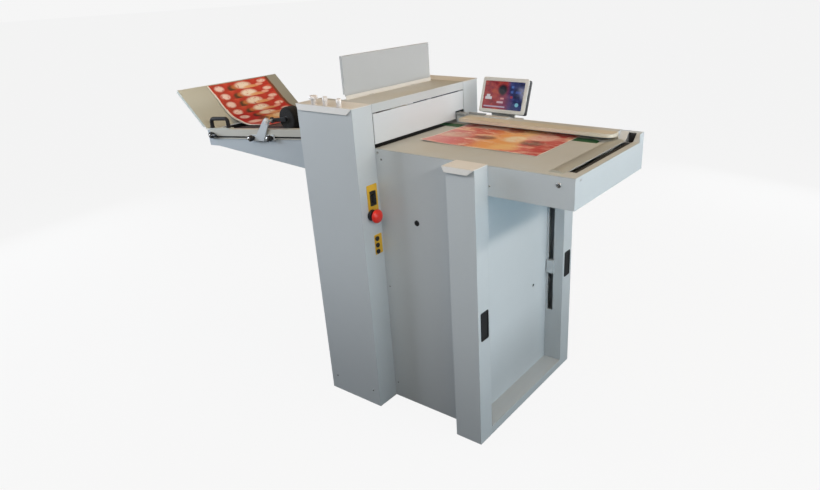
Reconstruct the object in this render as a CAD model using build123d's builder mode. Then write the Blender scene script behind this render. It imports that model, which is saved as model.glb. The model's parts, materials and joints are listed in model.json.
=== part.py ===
from build123d import *
import os
from math import cos, radians, sin, tan

# Sheet folding machine with a feed table, a fold head between two towers and a sloping delivery.
# Row frame: origin on the floor at the middle of the cabinet, +X towards the feed table,
# +Y towards the rear, +Z up. Millimetres.

# ------------------------------------------------------------------ driving dimensions
table_height = 950
head_height = 1090
cabinet_length = 675
body_width = 500
tower_width = 680
tower_length = 244
column_length = 101
column_depth = 67
table_reach = 276
skirt_height = 91
delivery_reach = 656
delivery_slope = 5.5
stop_tray_angle = 42.1
sheet = 2
frame_plate = 8

# ------------------------------------------------------------------ places worked out from them
left = -cabinet_length / 2
right = cabinet_length / 2
side = body_width / 2
tower_side = tower_width / 2
tower_right = left + tower_length
column_left = right - column_length
column_side = side + column_depth
table_end = right + table_reach
table_rear = side - 17
bed_under = table_height - sheet
skirt_bottom = table_height - skirt_height
frame_outer = side - 4
frame_inner = frame_outer - frame_plate
gap = 0.3

# ------------------------------------------------------------------ small shared sizes
cap_drop = 20
cap_flare = 3
lip_cut = (10, 20)
cap_overhang = 2
column_cap_overhang = 8
column_cap_rise = 3
rail_top = table_height + 27
rail_wall = 33
guard_width = 50
rod_radius = 6
knob_radius = 8

os.makedirs("parts", exist_ok=True)


def span(low, high):
    """Middle and length of one coordinate span."""
    return (low + high) / 2, high - low


def block(x, y, z, mode=Mode.ADD):
    """Add or cut a rectangular block that fills three coordinate spans."""
    (x_mid, x_size), (y_mid, y_size), (z_mid, z_size) = span(*x), span(*y), span(*z)
    with Locations((x_mid, y_mid, z_mid)):
        Box(x_size, y_size, z_size, mode=mode)


def rod_y(x, z, radius, y, mode=Mode.ADD):
    """Add or cut a round bar along Y."""
    y_mid, y_size = span(*y)
    with Locations(Location((x, y_mid, z), (90, 0, 0))):
        Cylinder(radius, y_size, mode=mode)


def rod_x(y, z, radius, x, mode=Mode.ADD):
    """Add or cut a round bar along X."""
    x_mid, x_size = span(*x)
    with Locations(Location((x_mid, y, z), (0, 90, 0))):
        Cylinder(radius, x_size, mode=mode)


def rod_z(x, y, radius, z, mode=Mode.ADD):
    """Add or cut a round bar along Z."""
    z_mid, z_size = span(*z)
    with Locations((x, y, z_mid)):
        Cylinder(radius, z_size, mode=mode)


def side_profile(points, y, mode=Mode.ADD):
    """Extrude an outline of (x, z) points between two y values."""
    with BuildSketch(Plane.XZ.offset(-y[1])) as outline:
        with BuildLine():
            Polyline(*points, close=True)
        make_face()
    extrude(outline.sketch, amount=y[1] - y[0], mode=mode)


def finish(piece, label):
    """Name the piece and write it as its own file."""
    piece.part.label = label
    export_step(piece.part, f"parts/{label}.step")


# ================================================================== cabinet structure
base_plate = 3
roller_radius = 17
roller_shaft = 8
bearing_radius = 14
nip = 0.3
fold_x = -190
fold_z = 992
fold_centres = [fold_x - roller_radius - nip / 2, fold_x + roller_radius + nip / 2]

frame_left = left + 7
frame_right = column_left - 7
frame_head_right = tower_right - 16
frame_shoulder = skirt_bottom - 10
window_margin = 60

belt_roller_radius = 15
slope = radians(delivery_slope)
delivery_start = (left, table_height + 37)


def on_delivery(along, above):
    """(x, z) of a place given along the delivery slope and square above its rail line."""
    x = delivery_start[0] - along * cos(slope) - above * sin(slope)
    z = delivery_start[1] - along * sin(slope) + above * cos(slope)
    return x, z


belt_above = -12
drive_along = -24
tail_along = 585
drive_x, drive_z = on_delivery(drive_along, belt_above - belt_roller_radius)
tail_x, tail_z = on_delivery(tail_along, belt_above - belt_roller_radius)

tie_radius = 11
tie_places = [
    (frame_left + 25, 90),
    (frame_right - 25, 90),
    (frame_right - 25, frame_shoulder - 40),
    (frame_left + 25, frame_shoulder - 40),
]
with BuildPart() as chassis:
    for low in (-frame_outer, frame_inner):
        outline = [
            (frame_left, 0),
            (frame_right, 0),
            (frame_right, frame_shoulder),
            (frame_head_right, frame_shoulder),
            (frame_head_right, head_height - 8),
            (frame_left, head_height - 8),
        ]
        side_profile(outline, (low, low + frame_plate))
        window = (frame_left + window_margin, frame_right - window_margin)
        wall = (low, low + frame_plate)
        block(window, wall, (window_margin + 60, frame_shoulder - 100), Mode.SUBTRACT)
        for centre in fold_centres:
            rod_y(centre, fold_z, bearing_radius, wall, Mode.SUBTRACT)
        rod_y(drive_x, drive_z, rod_radius + 0.05, wall, Mode.SUBTRACT)
    block((frame_left, frame_right), (-frame_outer, frame_outer), (0, base_plate))
    for x, z in tie_places:
        rod_y(x, z, tie_radius, (-frame_inner, frame_inner))
finish(chassis, "chassis")

flap_axis = (tower_right - 6, head_height - 36)
lid_axis = (tower_right - 138, head_height + 5)
hinge_pin = 2.5
with BuildPart() as hinge_rods:
    rod_y(*flap_axis, hinge_pin, (-side, side))
    rod_y(*lid_axis, hinge_pin, (-side + 32, side - 32))
finish(hinge_rods, "hinge_rods")

# ================================================================== towers and columns
socket_y = -283.5
switch_z = 792
stop_y = -295.5
stop_z = 737
button_heights = (650, 627, 604)
barrel_radius = 9
button_hole = 5.5
switch_body = (18, 36)
knob_places = [(-265.5, -330), (-213.5, -330), (-153.5, -330)]
knob_stem = 4


def tower_shell(low, high, open_side):
    """Three walls of a tower, open towards the machine body."""
    block((left, tower_right), (low, high), (0, head_height - sheet))
    inner = (low + sheet, high) if open_side > 0 else (low, high - sheet)
    block((left + sheet, tower_right - sheet), inner, (0, head_height - sheet), Mode.SUBTRACT)


with BuildPart() as front_tower_cover:
    tower_shell(-tower_side, -side, 1)
    wall = (tower_right - sheet, tower_right)
    rod_x(stop_y, stop_z, barrel_radius, wall, Mode.SUBTRACT)
    block(wall, (socket_y - switch_body[0] / 2, socket_y + switch_body[0] / 2),
          (switch_z - switch_body[1] / 2, switch_z + switch_body[1] / 2), Mode.SUBTRACT)
    for height in button_heights:
        rod_x(socket_y, height, button_hole, wall, Mode.SUBTRACT)
finish(front_tower_cover, "front_tower_cover")

with BuildPart() as rear_tower_cover:
    tower_shell(side, tower_side, -1)
finish(rear_tower_cover, "rear_tower_cover")


def cap(x, y_body, y_edge, top, drop, left_drop):
    """Folded cap: top sheet, a flared lip along the outer edge and a lip along the left edge."""
    outward = 1 if y_edge > y_body else -1
    block(x, sorted((y_body, y_edge)), (top - sheet, top))
    block((x[0], x[0] + sheet), sorted((y_body, y_edge)), (top - left_drop, top - sheet))
    lip = [
        (y_edge, top),
        (y_edge - outward * sheet, top),
        (y_edge - outward * sheet + outward * cap_flare, top - drop),
        (y_edge + outward * cap_flare, top - drop),
    ]
    with BuildSketch(Plane.YZ.offset(x[0])) as lip_section:
        with BuildLine():
            Polyline(*lip, close=True)
        make_face()
    extrude(lip_section.sketch, amount=x[1] - x[0])
    lip_zone = sorted((y_edge + outward * cap_flare, y_edge - outward * cap_flare))
    side_profile([(x[0], top - sheet), (x[0] + lip_cut[0], top - drop), (x[0], top - drop)],
                 lip_zone, Mode.SUBTRACT)
    side_profile([(x[1], top - sheet), (x[1], top - drop), (x[1] - lip_cut[1], top - drop)],
                 lip_zone, Mode.SUBTRACT)


column_cap_top = table_height + column_cap_rise
with BuildPart() as post_caps:
    for outward in (-1, 1):
        cap((left - cap_overhang, tower_right), outward * side, outward * (tower_side + cap_overhang),
            head_height, cap_drop, 14)
        cap((column_left - column_cap_overhang, right), outward * side,
            outward * (column_side + column_cap_overhang), column_cap_top, 17, 12)
    for x, y in knob_places:
        rod_z(x, y, knob_stem + 0.05, (head_height - sheet, head_height), Mode.SUBTRACT)
finish(post_caps, "post_caps")

slot_x = column_left + 50.5
slot_width = 22
slot_z = (246, skirt_bottom - 9)
pad_z = (392, 492)
pad_width = 42
pad_inset = 14
cup_depth = 14


def column(low, high, inner_y):
    """Closed column with a guide slot in its inner wall and a cup opening in its end wall."""
    block((column_left, right), (low, high), (0, column_cap_top - sheet))
    block((column_left + sheet, right - sheet), (low + sheet, high - sheet), (0, column_cap_top - sheet),
          Mode.SUBTRACT)
    slot_wall = sorted((inner_y, inner_y + (sheet if inner_y == low else -sheet)))
    block((slot_x - slot_width / 2, slot_x + slot_width / 2), slot_wall, slot_z, Mode.SUBTRACT)


def pad_span(inner_y):
    """The y span of a hand pad, measured in from the outer face of its column."""
    outward = 1 if inner_y > 0 else -1
    outer = inner_y + outward * column_depth
    return sorted((outer - outward * pad_inset, outer - outward * (pad_inset + pad_width)))


pad_border = 3
for label, low, high, inner_y in (
    ("front_column", -column_side, -side, -side),
    ("rear_column", side, column_side, side),
):
    with BuildPart() as column_shell:
        column(low, high, inner_y)
        pad_low, pad_high = pad_span(inner_y)
        block((right - sheet, right), (pad_low + pad_border, pad_high - pad_border),
              (pad_z[0] + pad_border, pad_z[1] - pad_border), Mode.SUBTRACT)
    finish(column_shell, label)

with BuildPart() as hand_pads:
    for inner_y in (-side, side):
        pad_low, pad_high = pad_span(inner_y)
        block((right, right + 2.5), (pad_low, pad_high), pad_z)
        block((right - cup_depth, right), (pad_low + pad_border, pad_high - pad_border),
              (pad_z[0] + pad_border, pad_z[1] - pad_border))
        block((right - cup_depth + 2, right + 2.5), (pad_low + 6, pad_high - 6), (pad_z[0] + 6, pad_z[1] - 6),
              Mode.SUBTRACT)
finish(hand_pads, "hand_pads")

carrier_z = (404, 456)
with BuildPart() as slot_carrier:
    block((slot_x - 15, slot_x + 15), (side - 7, side - gap), carrier_z)
    block((slot_x - slot_width / 2 + gap, slot_x + slot_width / 2 - gap), (side - gap, side + sheet + gap),
          (carrier_z[0] + 6, carrier_z[1] - 6))
    block((slot_x - 15, slot_x + 15), (side + sheet + gap, side + 6), carrier_z)
    fillet(slot_carrier.edges().filter_by(Axis.Y).group_by(Axis.Y)[0], 3)
finish(slot_carrier, "slot_carrier")

# ================================================================== panels
lock_x = 61.5
lock_z = 722
lock_radius = 7
with BuildPart() as front_panel:
    block((tower_right, column_left), (-side, -side + sheet), (0, bed_under))
    rod_y(lock_x, lock_z, lock_radius, (-side, -side + sheet), Mode.SUBTRACT)
finish(front_panel, "front_panel")

with BuildPart() as panel_lock:
    rod_y(lock_x, lock_z, lock_radius - 0.05, (-side - 1.5, -side + 14))
    block((lock_x - 8, lock_x + 8), (-side + 14, -side + 17), (lock_z - 8, lock_z + 30))
    block((lock_x - 1, lock_x + 1), (-side - 1.5, -side + 3), (lock_z - 3.5, lock_z + 3.5), Mode.SUBTRACT)
finish(panel_lock, "panel_lock")

with BuildPart() as rear_panel:
    block((tower_right, column_left), (side - sheet, side), (0, bed_under))
    louvre_rows = 8
    for row in range(louvre_rows):
        z = 150 + 18 * row
        block((10, 130), (side - sheet, side), (z, z + 5), Mode.SUBTRACT)
finish(rear_panel, "rear_panel")

end_panel_top = 826
with BuildPart() as left_end_panel:
    block((left, left + sheet), (-side, side), (0, end_panel_top))
    block((left + sheet, left + 14), (-side + 14, side - 14), (end_panel_top - sheet, end_panel_top))
finish(left_end_panel, "left_end_panel")

bay_back = column_left + 31
bay_floor_top = 31
liner_side = side - 0.5
with BuildPart() as bay_liner:
    block((bay_back - sheet, bay_back), (-liner_side, liner_side), (bay_floor_top - sheet, skirt_bottom - 3))
    block((bay_back, right), (-liner_side, liner_side), (bay_floor_top - sheet, bay_floor_top))
    block((right - sheet, right), (-liner_side, liner_side), (0, bay_floor_top - sheet))
    rod_x(152.5, 385, 6, (bay_back - sheet, bay_back), Mode.SUBTRACT)
finish(bay_liner, "bay_liner")

# ================================================================== fold head
lid_knuckle = 4.4
lid_back = lid_axis[0] - 4.5
opening_side = side - 20
with BuildPart() as head_cover:
    block((left, tower_right), (-side, side), (head_height - sheet, head_height))
    block((left, lid_back), (-opening_side, opening_side), (head_height - sheet, head_height), Mode.SUBTRACT)
    block((tower_right - sheet, tower_right), (-side, side), (head_height - 28, head_height - sheet))
    for low, high in ((-side, -side + 2.5), (side - 2.5, side)):
        block((tower_right - 12, tower_right - sheet), (low, high), (flap_axis[1] - 6, head_height - sheet))
    rod_y(*flap_axis, hinge_pin, (-side, side), Mode.SUBTRACT)
    for y in (-120, 100):
        rod_y(*lid_axis, lid_knuckle, (y, y + 20))
        block((lid_axis[0] - 3, lid_axis[0] + 14), (y, y + 20), (head_height, head_height + 1.2))
        block((lid_axis[0] - 3, lid_axis[0] + 3), (y, y + 20), (head_height, lid_axis[1]))
    rod_y(*lid_axis, hinge_pin, (-side, side), Mode.SUBTRACT)
    block((left, left + sheet), (-side, -opening_side), (head_height - 60, head_height - sheet))
    block((left, left + sheet), (opening_side, side), (head_height - 60, head_height - sheet))
finish(head_cover, "head_cover")

flap_top = head_height - 32
flap_bottom = table_height + 12
flap_side = side - 3
flap_notch = (table_rear - rail_wall - 4, table_height + 40)
flap_return = 12
knuckle = 5
with BuildPart() as feed_flap:
    block((tower_right - sheet, tower_right), (-flap_side, flap_side), (flap_bottom, flap_top))
    block((tower_right - flap_return, tower_right - sheet), (-flap_side, flap_side),
          (flap_bottom, flap_bottom + sheet))
    for y in (-flap_side, -60, 40, flap_side - 20):
        rod_y(*flap_axis, knuckle, (y, y + 20))
        block((flap_axis[0], tower_right), (y, y + 20), (flap_axis[1] - 3, flap_axis[1] + 3))
    rod_y(*flap_axis, hinge_pin + 0.05, (-flap_side, flap_side), Mode.SUBTRACT)
    block((tower_right - flap_return, tower_right), (flap_notch[0], flap_side),
          (flap_bottom, flap_notch[1]), Mode.SUBTRACT)
finish(feed_flap, "feed_flap")

lid_side = side - 25
lid_height = 136
lid_top = head_height + lid_height
lid_return = 10
lid_face = lid_axis[0] + 3
lid_bottom = head_height + 10
with BuildPart() as access_lid:
    block((lid_face - sheet, lid_face), (-lid_side, lid_side), (lid_bottom, lid_top))
    block((lid_face - lid_return, lid_face - sheet), (-lid_side, lid_side), (lid_top - sheet, lid_top))
    for y in (-lid_side, lid_side - sheet):
        block((lid_face - lid_return, lid_face - sheet), (y, y + sheet), (lid_bottom + 6, lid_top - sheet))
    for y in (-lid_side + 10, -10, lid_side - 30):
        rod_y(*lid_axis, lid_knuckle, (y, y + 20))
        block((lid_axis[0] + 1, lid_face), (y, y + 20), (lid_axis[1], lid_bottom))
    rod_y(*lid_axis, hinge_pin + 0.05, (-lid_side, lid_side), Mode.SUBTRACT)
finish(access_lid, "access_lid")

roller_face = 225
shaft_end = side + 1.9
for label, centre, rear_end in (
    ("fold_roller_left", fold_centres[0], shaft_end),
    ("fold_roller_right", fold_centres[1], frame_outer),
):
    with BuildPart() as fold_roller:
        rod_y(centre, fold_z, roller_radius, (-roller_face, roller_face))
        rod_y(centre, fold_z, roller_shaft, (-frame_outer, rear_end))
        for ring in range(9):
            y = -200 + 50 * ring
            with BuildSketch(Plane.XZ.offset(-y)):
                with Locations((centre, fold_z)):
                    Circle(roller_radius + 1)
                    Circle(roller_radius - 1, mode=Mode.SUBTRACT)
            extrude(amount=3, mode=Mode.SUBTRACT)
    finish(fold_roller, label)

knife_top = 946
knife_side = 215
with BuildPart() as fold_knife:
    block((fold_x - 0.75, fold_x + 0.75), (-knife_side, knife_side), (880, knife_top))
    block((fold_x - 12, fold_x + 12), (-frame_inner + 0.5, frame_inner - 0.5), (856, 880))
finish(fold_knife, "fold_knife")

# ================================================================== feed table
wall_front = table_rear - rail_wall
belt_y = (130, 169.5)
belt_top = table_height + 1
belt_thickness = 1.5
pulley_radius = 17.9
pulley_z = belt_top - belt_thickness - pulley_radius - 0.1
belt_drive_x = -140
belt_idle_x = 478
infeed_x = 579
infeed_radius = 10.5
infeed_z = 936
infeed_y = (-188, 178)
slot_y = (-200, wall_front)
rail_stop = 538
bed_left = -300
slot_open = (566, 592)
knife_slot = 4

with BuildPart() as table_bed:
    block((bed_left, tower_right), (-frame_inner + 0.5, frame_inner - 0.5), (bed_under, table_height))
    block((tower_right, table_end), (-side, side), (bed_under, table_height))
    block((tower_right, table_end), (wall_front, side), (bed_under, table_height), Mode.SUBTRACT)
    block((tower_right, slot_open[0]), (wall_front - sheet, wall_front), (bed_under - 20, bed_under))
    block((fold_x - knife_slot, fold_x + knife_slot), (-knife_side - 5, knife_side + 5),
          (bed_under, table_height), Mode.SUBTRACT)
    block((belt_drive_x - 22, belt_idle_x + 22), (belt_y[0] - 1.5, belt_y[1] + 1.5),
          (bed_under, table_height), Mode.SUBTRACT)
    block(slot_open, slot_y, (bed_under, table_height), Mode.SUBTRACT)
finish(table_bed, "table_bed")

with BuildPart() as table_skirt:
    block((column_left, table_end), (-side, -side + sheet), (skirt_bottom, bed_under))
    block((table_end - sheet, table_end), (-side + sheet, table_rear), (skirt_bottom, bed_under))
    block((bay_back, table_end - sheet), (-side + sheet, wall_front), (skirt_bottom, skirt_bottom + sheet))
    block((tower_right, table_end), (wall_front, table_rear), (skirt_bottom + 60, rail_top))
    block((column_left + 1, table_end - sheet), (wall_front, table_rear),
          (skirt_bottom, skirt_bottom + 60))
    block((tower_right + 20, table_end - 20), (wall_front + sheet, table_rear - sheet),
          (skirt_bottom + sheet, rail_top - sheet), Mode.SUBTRACT)
    block((rail_stop, table_end - sheet), (wall_front, table_rear - sheet), (table_height, rail_top),
          Mode.SUBTRACT)
    block((rail_stop - sheet, rail_stop), (wall_front, table_rear), (table_height, rail_top))
    block((rail_stop, table_end - sheet), (wall_front, wall_front + sheet), (bed_under, table_height))
    with BuildSketch(Plane.YZ.offset(rail_stop)):
        with BuildLine():
            Polyline((wall_front, table_height), (table_rear - sheet, rail_top - sheet),
                     (table_rear - sheet, rail_top - 2.5 * sheet), (wall_front + sheet, table_height - sheet),
                     (wall_front, table_height - sheet), (wall_front, table_height))
        make_face()
    extrude(amount=table_end - sheet - rail_stop)
    block(slot_open, (wall_front, table_rear - 2.5 * sheet), (bed_under - 20, rail_top), Mode.SUBTRACT)
    rod_x(-side + 33, table_height - 12, 3, (table_end - sheet, table_end), Mode.SUBTRACT)
finish(table_skirt, "table_skirt")

guard_front = wall_front - guard_width
guard_start = tower_right + 47.5
guard_end = 517
guard_round = guard_width / 2
with BuildPart() as belt_guard:
    block((guard_start, guard_end), (guard_front, wall_front), (rail_top - sheet, rail_top))
    block((guard_start, guard_end), (guard_front, guard_front + sheet),
          (table_height + 15, rail_top - sheet))
    with Locations((guard_end, guard_front + guard_round, rail_top - sheet / 2)):
        Cylinder(guard_round, sheet)
    block((guard_end, guard_end + guard_round), (guard_front + guard_round, wall_front),
          (rail_top - sheet, rail_top))
    block((guard_end, guard_end + guard_round), (wall_front - sheet, wall_front),
          (table_height, rail_top - sheet))
finish(belt_guard, "belt_guard")

guide_left = guard_end
guide_right = slot_open[0] - 1
guide_y = (-222, slot_y[1] - 3)
with BuildPart() as infeed_guide:
    with BuildSketch(Plane.XZ.offset(-guide_y[1])):
        with BuildLine():
            Line((guide_left, table_height), (guide_right, table_height))
            ThreePointArc((guide_right, table_height), ((guide_left + guide_right) / 2, table_height + 6),
                          (guide_left, table_height))
        make_face()
    extrude(amount=guide_y[1] - guide_y[0])
finish(infeed_guide, "infeed_guide")

infeed_shaft = 5
bearing_x = (558, 600)
with BuildPart() as infeed_roller:
    rod_y(infeed_x, infeed_z, infeed_radius, infeed_y)
    rod_y(infeed_x, infeed_z, infeed_shaft, (infeed_y[0] - 18, infeed_y[1] + 18))
finish(infeed_roller, "infeed_roller")

axle_radius = 4
idle_axle_y = (belt_y[0] - 2, wall_front - sheet)
with BuildPart() as bearings_and_axles:
    for centre in fold_centres:
        for low in (-frame_outer, frame_inner):
            rod_y(centre, fold_z, bearing_radius, (low, low + frame_plate))
            rod_y(centre, fold_z, roller_shaft + 0.05, (low, low + frame_plate), Mode.SUBTRACT)
    for low in (infeed_y[0] - 18, infeed_y[1] + 6):
        block(bearing_x, (low, low + 12), (infeed_z - 14, bed_under))
        rod_y(infeed_x, infeed_z, infeed_shaft + 0.05, (low, low + 12), Mode.SUBTRACT)
    rod_y(belt_idle_x, pulley_z, axle_radius, idle_axle_y)
finish(bearings_and_axles, "bearings_and_axles")


def belt_loop(start, end, inner_radius, thickness, y):
    """Closed flat belt round two equal pulleys whose centres are (x, z) points."""
    middle = ((start[0] + end[0]) / 2, (start[1] + end[1]) / 2)
    length = ((end[0] - start[0]) ** 2 + (end[1] - start[1]) ** 2) ** 0.5
    direction = ((end[0] - start[0]) / length, 0, (end[1] - start[1]) / length)
    loop_plane = Plane(origin=(middle[0], y[1], middle[1]), x_dir=direction, z_dir=(0, -1, 0))
    with BuildSketch(loop_plane) as loop:
        SlotCenterToCenter(length, 2 * (inner_radius + thickness))
        SlotCenterToCenter(length, 2 * inner_radius, mode=Mode.SUBTRACT)
    extrude(loop.sketch, amount=y[1] - y[0])


with BuildPart() as register_belt:
    belt_loop((belt_drive_x, pulley_z), (belt_idle_x, pulley_z), pulley_radius + 0.1, belt_thickness, belt_y)
finish(register_belt, "register_belt")

motor_y = (52, 121)
for label, x, bore in (("belt_idle_pulley", belt_idle_x, True), ("belt_drive_pulley", belt_drive_x, False)):
    with BuildPart() as pulley:
        rod_y(x, pulley_z, pulley_radius, belt_y)
        for y in (belt_y[0] - 1, belt_y[1]):
            rod_y(x, pulley_z, pulley_radius - 3, (y, y + 1))
        if bore:
            rod_y(x, pulley_z, axle_radius + 0.05, (belt_y[0] - 1, belt_y[1] + 1), Mode.SUBTRACT)
        else:
            rod_y(x, pulley_z, axle_radius, (motor_y[1], belt_y[0]))
    finish(pulley, label)

with BuildPart() as drive_motors:
    rod_y(belt_drive_x, pulley_z, 16, motor_y)
    rod_y(fold_centres[0], fold_z, 30, (shaft_end, side + 70))
    block((fold_x - 30, fold_x + 30), (-30, 30), (700, 790))
finish(drive_motors, "drive_motors")

# ================================================================== delivery
rail_height = 36
rail_outer = side + 4
rail_inner = side - 20
pan_left = left - delivery_reach
cheek_x = pan_left + 18
rail_end = 638
groove = (-33, -26)


def delivery_top(x):
    """Height of the pan's upper edge under the rails."""
    return on_delivery((left - x) / cos(slope), -rail_height)[1] - rail_height * sin(slope) * tan(slope)


pan_start = left + 6.5
pan_outline = [
    (pan_start, delivery_top(pan_start)),
    (cheek_x, delivery_top(cheek_x)),
    (cheek_x, 923.5),
    (pan_left, 921.5),
    (pan_left + 3, 861),
    (pan_left + 61, 864),
    (pan_left + 534, 838),
    (pan_start, 829),
]
pan_inside = [
    (pan_start + 1, 1100),
    (pan_left - 5, 1100),
    (pan_left - 5, 863),
    (pan_left + 61, 866),
    (pan_left + 534, 840),
    (pan_start + 1, 831),
]
with BuildPart() as delivery_pan:
    side_profile(pan_outline, (-side, side))
    side_profile(pan_inside, (-side + sheet, side - sheet), Mode.SUBTRACT)
    block((pan_left + 3, pan_left + 5), (-side + sheet, side - sheet), (862, 880))
finish(delivery_pan, "delivery_pan")


def delivery_bar(along, above, y, mode=Mode.ADD):
    """Straight bar that follows the delivery slope."""
    corners = [
        on_delivery(along[0], above[0]),
        on_delivery(along[1], above[0]),
        on_delivery(along[1], above[1]),
        on_delivery(along[0], above[1]),
    ]
    side_profile(corners, y, mode)


with BuildPart() as delivery_rails:
    for outer, inner in ((-rail_outer, -rail_inner), (rail_outer, rail_inner)):
        delivery_bar((4, rail_end), (-rail_height, 0), sorted((outer, inner)))
        groove_inner = outer - 8 if outer > 0 else outer + 8
        delivery_bar((4, rail_end), groove, sorted((outer, groove_inner)), Mode.SUBTRACT)
    rod_y(tail_x, tail_z, rod_radius + 0.05, (-rail_inner - 7, rail_inner + 7), Mode.SUBTRACT)
finish(delivery_rails, "delivery_rails")

plate_side = rail_inner
with BuildPart() as slider_plates:
    delivery_bar((-5, 566), (belt_above - sheet, belt_above), (-plate_side, plate_side))
    for low in (-plate_side, plate_side - sheet):
        delivery_bar((-5, 566), (belt_above - 16, belt_above - sheet), (low, low + sheet))
    delivery_bar((-110, -44), (belt_above - sheet, belt_above), (-plate_side + 8, plate_side - 8))
finish(slider_plates, "slider_plates")

delivery_belt_width = 30
delivery_belt_thickness = 1.5
with BuildPart() as delivery_belts:
    for middle in (-150, -50, 50, 150):
        belt_loop((tail_x, tail_z), (drive_x, drive_z), belt_roller_radius, delivery_belt_thickness,
                  (middle - delivery_belt_width / 2, middle + delivery_belt_width / 2))
finish(delivery_belts, "delivery_belts")

for label, x, z, reach in (
    ("delivery_drive_roller", drive_x, drive_z, frame_outer),
    ("delivery_tail_roller", tail_x, tail_z, rail_inner + 6.5),
):
    with BuildPart() as belt_roller:
        rod_y(x, z, belt_roller_radius - 0.1, (-rail_inner + 6, rail_inner - 6))
        rod_y(x, z, rod_radius, (-reach, reach))
    finish(belt_roller, label)

tray_angle = radians(stop_tray_angle)
tray_foot = on_delivery(662, 3)
tray_length = 206


def on_tray(up, above):
    """(x, z) of a place given up the stop tray and square above its face."""
    return (
        tray_foot[0] - up * cos(tray_angle) + above * sin(tray_angle),
        tray_foot[1] + up * sin(tray_angle) + above * cos(tray_angle),
    )


def tray_bar(up, above, y, mode=Mode.ADD):
    """Flat bar that follows the stop tray."""
    corners = [
        on_tray(up[0], above[0]),
        on_tray(up[1], above[0]),
        on_tray(up[1], above[1]),
        on_tray(up[0], above[1]),
    ]
    side_profile(corners, y, mode)


foot_start = 512
flange_start = 16
with BuildPart() as stop_tray:
    tray_bar((0, tray_length), (-sheet, 0), (-side, side))
    tray_bar((-8, 0), (-sheet, 0), (-rail_inner + 5, rail_inner - 5))
    tray_bar((tray_length - sheet, tray_length), (-14, -sheet), (-side, side))
    for low in (-side, side - sheet):
        tray_bar((flange_start, tray_length - sheet), (-12, -sheet), (low, low + sheet))
    for outer, inner in ((-rail_outer, -rail_inner), (rail_outer, rail_inner)):
        delivery_bar((foot_start, 664), (gap, 4), sorted((outer, inner)))
finish(stop_tray, "stop_tray")

handle_x = (-975, -855)
handle_y = -242
handle_bar = 7.5
handle_tall = 36
foot_places = (handle_x[0] + handle_bar, handle_x[1] - handle_bar)
foot_left, foot_right = [on_delivery((left - x) / cos(slope), 4.9) for x in foot_places]
with BuildPart() as loop_handle:
    with BuildLine(Plane.XZ.offset(-handle_y)) as handle_path:
        Polyline(foot_left, (foot_left[0], foot_left[1] + handle_tall),
                 (foot_right[0], foot_right[1] + handle_tall), foot_right)
        fillet(handle_path.vertices().group_by(Axis.Z)[2:], 14)
    with BuildSketch(Plane(origin=(foot_left[0], handle_y, foot_left[1]), z_dir=(0, 0, 1))):
        Circle(handle_bar)
    sweep()
finish(loop_handle, "loop_handle")

clamp_y = -rail_outer
clamp_along = (246, 376)
arm_along = (288, 348)
arm_pin = (-604, 992)
with BuildPart() as roller_bracket:
    delivery_bar(clamp_along, (groove[0] - 8, groove[1] + 8), (clamp_y - 4, clamp_y - 0.2))
    low_left = on_delivery(arm_along[1] + 15, groove[0] - 8)
    low_right = on_delivery(arm_along[0] + 15, groove[0] - 8)
    side_profile([low_left, low_right, (arm_pin[0] + 14, arm_pin[1] + 4), (arm_pin[0] - 14, arm_pin[1] + 8)],
                 (clamp_y - 8, clamp_y - 4))
    rod_y(*arm_pin, 13, (clamp_y - 8, clamp_y - 4))
    rod_y(*arm_pin, 5, (clamp_y - 13, -rail_inner - 2))
finish(roller_bracket, "roller_bracket")

thumb_radius = 11
for label, along in (("thumb_knob_left", clamp_along[1] - 12), ("thumb_knob_right", clamp_along[0] + 12)):
    x, z = on_delivery(along, sum(groove) / 2)
    with BuildPart() as thumb_knob:
        rod_y(x, z, thumb_radius, (clamp_y - 26, clamp_y - 10))
        rod_y(x, z, 7, (clamp_y - 10, clamp_y - 4.2))
        rod_y(x, z, 4, (clamp_y - 30, clamp_y - 26))
    finish(thumb_knob, label)

wheel_radius = 42
wheel_x = -535.5
wheel_y = (-226, -182)
wheel_belt_z = on_delivery((left - wheel_x) / cos(slope), belt_above)[1] + delivery_belt_thickness
wheel_z = wheel_belt_z + wheel_radius + 2 * gap
arm_y = (-rail_inner - 8, -rail_inner - 2)
with BuildPart() as press_arm:
    rod_y(*arm_pin, 11, arm_y)
    rod_y(wheel_x, wheel_z, 9, arm_y)
    side_profile([(arm_pin[0], arm_pin[1] - 7), (wheel_x, wheel_z - 7), (wheel_x, wheel_z + 7),
                  (arm_pin[0], arm_pin[1] + 7)], arm_y)
    rod_y(*arm_pin, 5.05, arm_y, Mode.SUBTRACT)
    rod_y(wheel_x, wheel_z, rod_radius, (arm_y[1], wheel_y[1] + 3))
finish(press_arm, "press_arm")

with BuildPart() as foam_roller:
    rod_y(wheel_x, wheel_z, wheel_radius, wheel_y)
    fillet(foam_roller.edges().filter_by(GeomType.CIRCLE), 5)
    rod_y(wheel_x, wheel_z, rod_radius + 0.05, wheel_y, Mode.SUBTRACT)
finish(foam_roller, "foam_roller")

# ================================================================== operating display
display_x = 70
display_lean = radians(20)
display_width = 192
display_tall = 126
display_thick = 26
pivot_y = 307
pivot_z = 1033
pivot_reach = 40


def on_display(across, up, back):
    """A place on the display: along X, up its leaning face and back from that face."""
    y = pivot_y - pivot_reach * cos(display_lean) + up * sin(display_lean) + back * cos(display_lean)
    z = pivot_z + pivot_reach * sin(display_lean) + up * cos(display_lean) - back * sin(display_lean)
    return display_x + across, y, z


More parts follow.
